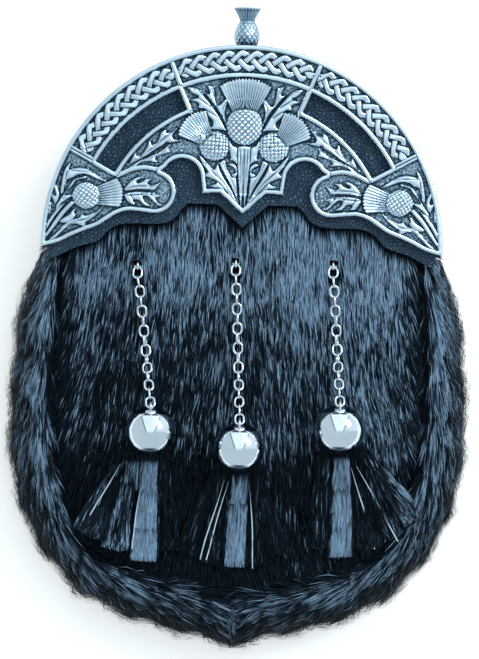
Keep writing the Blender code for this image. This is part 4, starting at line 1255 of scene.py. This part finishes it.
def front_fur():
    """Short hair that runs down the front and lies outwards at the sides, with painted light at the top and
    right and painted shade at the bottom, along the groove and round the slots.
    """
    rng = np.random.default_rng(SEED + 4)
    roots, normals = skin(nodes["front_panel"], FRONT_HAIRS + FRONT_SPARE, lambda c, n: n[:, 2] > 0.6, rng)
    under = outline_field(roots[:, 0], roots[:, 1], [apron_outline])
    keep = (under < -0.15) & (roots[:, 1] < 20.0)
    roots, normals = roots[keep][:FRONT_HAIRS], normals[keep][:FRONT_HAIRS]
    x, y = roots[:, 0], roots[:, 1]
    low = clamp(-y / 60.0)
    lean = np.radians(3.0 + 11.0 * clamp(np.abs(x) / 62.0) ** 1.3 * low) * np.sign(x)
    lean += np.radians(5.0) * waves(x, y, 34.0, 5) + np.radians(4.0) * waves(x, y, 11.0, 6)
    lean += rng.normal(0.0, math.radians(3.5), len(x))
    along = np.stack([np.sin(lean), -np.cos(lean), np.zeros(len(x))], 1)
    length = rng.uniform(6.5, 10.0, len(x))
    for sx, sy, *_ in CHAINS.values():
        # hairs above a slot end at it
        above = (np.abs(x - sx) < SLOT[0] / 2 + 0.3) & (y > sy) & (y < sy + 14.0)
        length = np.where(above, np.minimum(length, np.maximum(0.8, y - sy - SLOT[1] / 2 + 0.4)), length)
    gap = nearest(roots, groove_line)[0]
    edge = clamp(1.0 - gap / 6.0)
    along[:, 0] += np.sign(x) * edge * 0.3
    tone_and_light = 0.4 + 0.09 * waves(x, y, 34.0, 7) + 0.06 * waves(x, y, 12.0, 8)
    # painted light at the top and painted shade towards the bottom
    tone_and_light += 0.28 * clamp(1.0 + (y + 12.0) / 30.0) - 0.26 * clamp((-y - 78.0) / 16.0)
    # painted light towards the right, the lamp's side
    tone_and_light += 0.12 * np.clip(x / 40.0, -0.4, 1.0)
    # painted shade in the groove along the border
    tone_and_light *= 0.45 + 0.55 * clamp((gap - 1.0) / 7.0)
    # painted shade round the slots
    for sx, sy, *_ in CHAINS.values():
        tone_and_light = np.where(np.hypot((x - sx) / 2.8, (y - sy + 0.8) / 3.8) < 1.0, DEEP_SHADE, tone_and_light)
    lift = rng.uniform(0.6, 1.5, len(x))
    width = rng.uniform(0.17, 0.3, len(x))
    blades("fur_front", roots, normals, along, length, lift, width, tone_and_light, rng, *FRONT_LOCKS)


def border_hide():
    """The border's solid drawn in, so that the hairs' ends reach its real outline."""
    mesh = nodes["fur_border"].data.copy()
    points = mesh_points(mesh)
    inner = nearest(points, groove_line)[0]
    outer, tangent = nearest(points, outer_line)
    share = inner / np.maximum(0.1, inner + outer)
    out = outward(points, tangent)
    points[:, :2] -= out * (HAIR_ROOM * clamp(share) ** 1.5)[:, None]
    points[:, 2] -= 0.9 * clamp(points[:, 2] / 30.0)
    mesh.vertices.foreach_set("co", to_metres(points).astype(np.float32).ravel())
    mesh.name = "fur_border_hide"
    mesh.materials.clear()
    mesh.materials.append(HIDE)
    mesh.update()
    piece = linked("fur_border_hide", mesh)
    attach(piece, "root")
    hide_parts("fur_border")
    return piece


def outward(points, tangent):
    """The way out of the pouch at each place, square to the outline's direction there."""
    out = np.stack([-tangent[:, 1], tangent[:, 0]], 1)
    away = np.sum(out * (points[:, :2] - np.array([0.0, -50.0])), 1)
    return out * np.where(away < 0, -1.0, 1.0)[:, None]


def border_fur(piece):
    """Long hair that follows the border down each side, out of its groove and over its edge, with a painted
    highlight along its crest and painted shade in the groove, on its outer side and at the bottom.
    """
    tree = surface_tree(piece.data)

    def open_skin(centres, normals):
        """Where the skin faces open air, and not the floor or another part of itself."""
        result = []
        for centre, normal in zip(to_metres(centres), normals):
            if normal[2] < -0.75:
                result.append(0.0)
                continue
            # from 0.3 mm off the skin to 30 mm away
            start = Vector(centre) + Vector(normal) * 0.0003
            hit = tree.ray_cast(start, Vector(normal), 0.03)
            result.append(0.0 if hit[0] is not None else 1.0)
        return np.array(result)

    rng = np.random.default_rng(SEED + 9)
    roots, normals = skin(piece, BORDER_HAIRS, open_skin, rng)
    inner = nearest(roots, groove_line)[0]
    outer, way = nearest(roots, outer_line)
    out = outward(roots, way)
    share = inner / np.maximum(0.1, inner + outer)
    x, y = roots[:, 0], roots[:, 1]
    inward = clamp(1.0 - share / 0.3)
    angle = np.radians(-12.0 + 42.0 * share - 28.0 * inward) + np.radians(4.0) * waves(x, y, 22.0, 10)
    angle += np.radians(3.0) * waves(x, y, 8.0, 11) + rng.normal(0.0, math.radians(4.0), len(x))
    # at the bottom tip the two sides meet and turn down
    tip = clamp(1.0 - np.abs(x) / 9.0) * (y < -120.0)
    flat = way * np.cos(angle)[:, None] + out * np.sin(angle)[:, None]
    flat = flat * (1 - tip)[:, None] + np.array([0.0, -1.0]) * tip[:, None]
    along = np.concatenate([flat, np.full((len(x), 1), -0.12)], 1)
    length = rng.uniform(8.0, 13.5, len(x)) * (1.0 - 0.25 * (share > 0.8))
    # under the ends of the cantle the hair is short and hangs straight down
    topmost = clamp((y + 14.0) / 12.0)
    along = along * (1 - topmost)[:, None] + np.array([0.0, -1.0, -0.1]) * topmost[:, None]
    length *= 1.0 - 0.55 * topmost
    tone_and_light = 0.38 + 0.07 * waves(x, y, 24.0, 12) + 0.05 * waves(x, y, 9.0, 13)
    # painted highlight along the crest and painted shade towards the bottom
    tone_and_light += 0.26 * np.exp(-(((share - 0.45) / 0.22) ** 2)) - 0.1 * clamp((-y - 92.0) / 20.0)
    # painted shade in the groove
    tone_and_light *= 0.45 + 0.55 * clamp(inner / 5.0)
    # painted shade on the outer side, which turns away from the light
    tone_and_light *= 1.0 - 0.6 * clamp((share - 0.7) / 0.2)
    # a few fine hairs stand off the outline
    stray = (share > 0.66) & (rng.random(len(x)) < 0.25) & (topmost < 0.2)
    lift = np.where(stray, rng.uniform(2.0, 4.6, len(x)), rng.uniform(0.6, 1.9, len(x)))
    width = np.where(stray, 0.17, rng.uniform(0.18, 0.3, len(x)))
    for label, part in (("left", x < 0), ("right", x >= 0)):
        rows = [values[part] for values in (roots, normals, along, length, lift, width, tone_and_light)]
        draws = np.random.default_rng(SEED + 14)
        blades("fur_border_" + label, *rows, draws, *BORDER_LOCKS, floor=0.3)


front_fur()
border_fur(border_hide())
paint("front_panel", HIDE)


# Tassels: strips as x at the bell's mouth, end x, end y from the bell's centre and share of light hairs
STRIPS = {
    "left": (
        (-11.0, -26.0, -44.0, 0.32),
        (-7.6, -13.5, -50.0, 0.48),
        (0.3, -1.2, -54.6, 1.04),
        (8.0, 10.0, -50.0, 0.2),
    ),
    "centre": (
        (-11.0, -20.5, -45.0, 0.17),
        (-8.0, -10.5, -49.5, 0.2),
        (1.0, -0.8, -50.0, 0.85),
        (9.0, 9.5, -49.0, 0.24),
        (11.0, 17.5, -44.5, 0.18),
    ),
    "right": (
        (-7.0, -9.0, -50.0, 0.26),
        (1.6, 2.8, -53.4, 1.04),
        (8.6, 14.0, -50.0, 0.18),
        (10.0, 24.0, -44.0, 0.38),
        (11.4, 31.5, -37.5, 0.52),
    ),
}
# How far the strips come out of the bell below its centre
MOUTH = 9.0
# Pale cut edges of the strips: from x, y to x, y
CUTS = {
    "left": ((-49.0, -93.5, -64.0, -121.0), (-40.3, -103.5, -44.2, -133.3)),
    "centre": ((-4.9, -99.4, -14.3, -133.4), (-3.0, -99.8, -12.2, -133.6), (6.2, -103.6, 8.6, -136.7)),
    "right": ((50.6, -91.4, 69.9, -123.5), (48.8, -92.7, 59.8, -127.0)),
}
# A cut edge's half-width and its section: share of the half-width, height
CUT_HALF = 0.24
CUT_FORM = ((-1, -0.8), (1, -0.8), (1, 0.1), (0, 0.25), (-1, 0.1))


def tassel_hair(name, seed):
    """Hair that follows a tassel's strips out of its bell."""
    rng = np.random.default_rng(seed)
    centre = bell_centres[name]
    paint("tassel_" + name, HIDE)

    def loose(centres, normals):
        below = centres[:, 1] < centre.y - 4.0
        return (below & (normals[:, 2] > -0.5)).astype(float)

    roots, normals = skin(nodes["tassel_" + name], TASSEL_HAIRS, loose, rng)
    count = len(roots)
    strips = np.array(STRIPS[name])
    x, y = roots[:, 0] - centre.x, roots[:, 1] - centre.y
    # each hair belongs to the nearest strip, and is painted dark, as shade between the strips, where two
    # strips are about as near
    down = np.clip((-MOUTH - y)[:, None] / (-MOUTH - strips[:, 2]), 0.0, 1.3)
    lines = strips[:, 0] + (strips[:, 1] - strips[:, 0]) * down
    apart = np.abs(x[:, None] - lines)
    which = np.argmin(apart, 1)
    apart.sort(1)
    gap = apart[:, 0] / np.maximum(0.1, apart[:, 1]) > 0.72
    mine = strips[which]
    way = np.stack([mine[:, 1] - mine[:, 0], mine[:, 2] + MOUTH], 1)
    reach = np.linalg.norm(way, axis=1)
    way /= reach[:, None]
    turn = rng.normal(0.0, 0.04, count)
    way = np.stack([way[:, 0] - way[:, 1] * turn, way[:, 1] + way[:, 0] * turn], 1)
    along = np.concatenate([way, np.full((count, 1), -0.05)], 1)
    gone = np.hypot(x - mine[:, 0], y + MOUTH)
    length = rng.uniform(8.0, 14.0, count)
    length = np.minimum(length, np.maximum(1.0, reach - gone + rng.uniform(-1.6, 1.4, count)))
    tone_and_light = mine[:, 3] * rng.uniform(0.85, 1.1, count) * np.where(gap, 0.35, 1.0)
    # short, and painted dark as shade in the bell's mouth
    top = y > -MOUTH - 1.2
    tone_and_light = np.where(top, 0.08, tone_and_light)
    length = np.where(top, np.minimum(length, 2.5), length)
    lift = rng.uniform(0.2, 0.8, count)
    width = rng.uniform(0.17, 0.28, count)
    blades("tassel_hair_" + name, roots, normals, along, length, lift, width, tone_and_light, rng, *TASSEL_LOCKS)


def tassel_cuts(name):
    """The strips' pale cut edges, a slim ridge each, laid on what is highest under them."""
    trees = [surface_tree(nodes[node].data) for node in ("tassel_" + name, "fur_border", "front_panel")]
    up = Vector((0.0, 0.0, 1.0))
    parts = Parts()
    for ax, ay, bx, by in CUTS[name]:
        sections = []
        side = Vector((-(by - ay), bx - ax, 0.0)).normalized()
        last = None
        for k in range(25):
            t = k / 24
            x, y = ax + (bx - ax) * t, ay + (by - ay) * t
            x += 0.5 * math.sin(t * 5.0 + ax) * t
            start = Vector((x, y + ARCH_Y, 70.0)) * MM
            hits = [tree.ray_cast(start, -up)[0] for tree in trees]
            heights = [hit.z / MM for hit in hits if hit is not None]
            if heights:
                z = max(heights) + 1.0
                last = z if last is None else last * 0.7 + z * 0.3
            half = CUT_HALF * min(1.0, 0.25 + 2.0 * t)
            middle = Vector((x, y, last))
            sections.append([middle + side * (half * across) + up * rise for across, rise in CUT_FORM])
        parts.loft(sections)
    parts.make("tassel_cuts_" + name, EDGE, "black_fur", sharp=40.0)


for seed, label in enumerate(CHAINS):
    tassel_hair(label, SEED + 20 + seed)
    tassel_cuts(label)

# Leather that stays as packed, with softened edges
for node in ("top_band", "back_panel", "belt_loop_left", "belt_loop_right"):
    paint(node, LEATHER_BACK)
    bevel = nodes[node].modifiers.new("soft_edge", "BEVEL")
    bevel.width = 0.0005
    bevel.segments = 3
    bevel.limit_method = "ANGLE"
    bevel.angle_limit = math.radians(40)


# Stitching: a stitch's length, the distance from one to the next and the thread's radius
STITCH = 2.4
STITCH_PITCH = 3.4
THREAD_RADIUS = 0.27
# The height of the back's face, how far in its row lies, and the half-length and place of the row along
# its top
BACK_LOW = 6.8
BACK_EDGE = 0.965
BACK_TOP = (54.0, 53.0)
# A belt loop's centre and the half-width and half-height of its box of stitches
BELT_LOOP = (45.0, 18.0)
LOOP_BOX = (8.0, 19.5)
# Along a stitch: share of its length, height and share of the thread's radius
STITCH_FORM = ((0.0, -0.3, 0.7), (0.2, 0.02, 1.0), (0.5, 0.1, 1.0), (0.8, 0.02, 1.0), (1.0, -0.3, 0.7))


def stitches(parts, path, outside, sunk=0.0):
    """A row of stitches along a path, with their ends pulled into the leather."""
    path = [Vector(point) for point in path]
    total = sum((b - a).length for a, b in zip(path, path[1:]))
    for k in range(int(total / STITCH_PITCH)):
        a = along_path(path, k * STITCH_PITCH + 0.5)
        b = along_path(path, k * STITCH_PITCH + 0.5 + STITCH)
        up = outside((a + b) / 2)
        side = (b - a).normalized().cross(up)
        sections = []
        for t, rise, size in STITCH_FORM:
            middle = a.lerp(b, t) + up * (rise - sunk)
            reach = THREAD_RADIUS * size
            sections.append([middle + (side * math.cos(w) + up * math.sin(w)) * reach for w in turns(6)])
        parts.loft(sections)


def stitching():
    """Rows round the back's edge, along its top, twice round the top band and round each belt loop."""
    parts = Parts()

    def behind(point):
        return Vector((0.0, 0.0, -1.0))

    def round_band(point):
        return Vector((point.x, point.y, 0.0)).normalized()

    back = [(x, y) for x, y in groove_line if y < -2.0]
    edge = [(x * BACK_EDGE, -45.0 + (y + 45.0) * BACK_EDGE, BACK_LOW) for x, y in back]
    stitches(parts, edge, behind)
    stitches(parts, [(side * BACK_TOP[0], BACK_TOP[1], BACK_LOW) for side in (-1, 1)], behind)
    for height in (BACK_LOW + 3.0, FRONT_TOP - 9.0):
        stitches(parts, [(*polar(BAND_OUT, angle), height) for angle in range(-84, 85, 3)], round_band)
    for side in (-1, 1):
        x, y = side * BELT_LOOP[0], BELT_LOOP[1]
        corners = ((-1, -1), (1, -1), (1, 1), (-1, 1), (-1, -1))
        box = [(x + LOOP_BOX[0] * right, y + LOOP_BOX[1] * up, 0.0) for right, up in corners]
        stitches(parts, box, behind, 0.22)
    parts.make("stitching", THREAD, "black_leather", sharp=60.0)


stitching()


# Floor, light and camera
def stage_floor(reach):
    corners = [(-reach, -reach, 0.0), (reach, -reach, 0.0), (reach, reach, 0.0), (-reach, reach, 0.0)]
    mesh = bpy.data.meshes.new("floor")
    mesh.from_pydata(corners, [], [(0, 1, 2, 3)])
    mesh.materials.append(FLOOR)
    linked("floor", mesh)


def area_light(name, place, target, size, power, shade):
    """A soft rectangle of light, aimed at a place."""
    data = bpy.data.lights.new(name, "AREA")
    data.shape = "RECTANGLE"
    data.size, data.size_y = size
    data.energy = power
    data.color = shade
    lamp = linked(name, data)
    lamp.location = place
    lamp.rotation_euler = (Vector(target) - Vector(place)).to_track_quat("-Z", "Y").to_euler()


stage_floor(3.0)
area_light("window_light", (1.2, 0.95, 1.25), (0.0, 0.0, 0.02), (1.0, 0.7), 22.0, (0.80, 0.92, 1.0))


# How bright the room is, what its panel and its right side add, what the panel's frame takes away, and the
# share that is lost at the picture's top and bottom
ROOM = 0.74
PANEL = 0.5
RIGHT_SIDE = 0.3
FRAME = 0.6
LOST = 0.9


def studio_world():
    """A pale room with a bright framed panel, greyer beside it and dark at the picture's top and bottom."""
    world = bpy.data.worlds.new("studio")
    world.use_nodes = True
    bpy.context.scene.world = world
    tree = world.node_tree

    def calc(operation, a, b=0.0):
        return math_node(tree, operation, a, b)

    def without(value):
        return calc("SUBTRACT", 1.0, value)

    def smooth(value, low, high):
        sockets = {"Value": value, "From Min": low, "From Max": high}
        return new_node(tree, "ShaderNodeMapRange", 0, sockets, interpolation_type="SMOOTHSTEP")

    split = tree.nodes.new("ShaderNodeSeparateXYZ")
    tree.links.new(tree.nodes.new("ShaderNodeTexCoord").outputs["Generated"], split.inputs[0])
    x, y, z = split.outputs
    # where a direction shows on a mirror ball seen from above, from -1 to 1 across and up the picture
    size = calc("SQRT", calc("MAXIMUM", calc("MULTIPLY", calc("ADD", z, 1.0), 2.0), 0.02))
    across, up = calc("DIVIDE", x, size), calc("DIVIDE", y, size)
    half = calc("ADD", calc("MULTIPLY", up, 0.34), 0.16)
    off = calc("SUBTRACT", calc("ABSOLUTE", across), half)
    panel = calc("MULTIPLY", without(smooth(off, -0.02, 0.02)), smooth(up, -0.10, 0.05))
    frame_line = without(smooth(calc("ABSOLUTE", off), 0.015, 0.04))
    frame_line = calc("MULTIPLY", frame_line, smooth(up, -0.10, 0.05))
    side = calc("MULTIPLY", smooth(across, 0.0, 0.3), smooth(up, -0.05, 0.05))
    level = calc("ADD", ROOM, calc("MULTIPLY", panel, PANEL))
    level = calc("ADD", level, calc("MULTIPLY", side, RIGHT_SIDE))
    level = calc("SUBTRACT", level, calc("MULTIPLY", frame_line, FRAME))
    for height in (smooth(up, 0.60, 0.64), smooth(calc("MULTIPLY", up, -1.0), 0.64, 0.68)):
        level = calc("MULTIPLY", level, without(calc("MULTIPLY", height, LOST)))
    back = tree.nodes["Background"]
    tree.links.new(level, back.inputs["Strength"])
    back.inputs["Color"].default_value = (0.80, 0.93, 1.0, 1.0)


studio_world()

# The camera stands far off, with the photograph's frame and turn
DISTANCE = 3.5
FRAME_WIDTH = 0.2036
camera_data = bpy.data.cameras.new("camera")
camera = linked("camera", camera_data)
camera_data.sensor_fit = "HORIZONTAL"
camera_data.sensor_width = 36.0
camera_data.lens = camera_data.sensor_width * DISTANCE / FRAME_WIDTH
camera.location = (0.0, -0.0013, DISTANCE + 0.03)
camera.rotation_euler = (0.0, 0.0, math.radians(PHOTO_TURN))
bpy.context.scene.camera = camera
bpy.context.scene.view_settings.view_transform = "Standard"
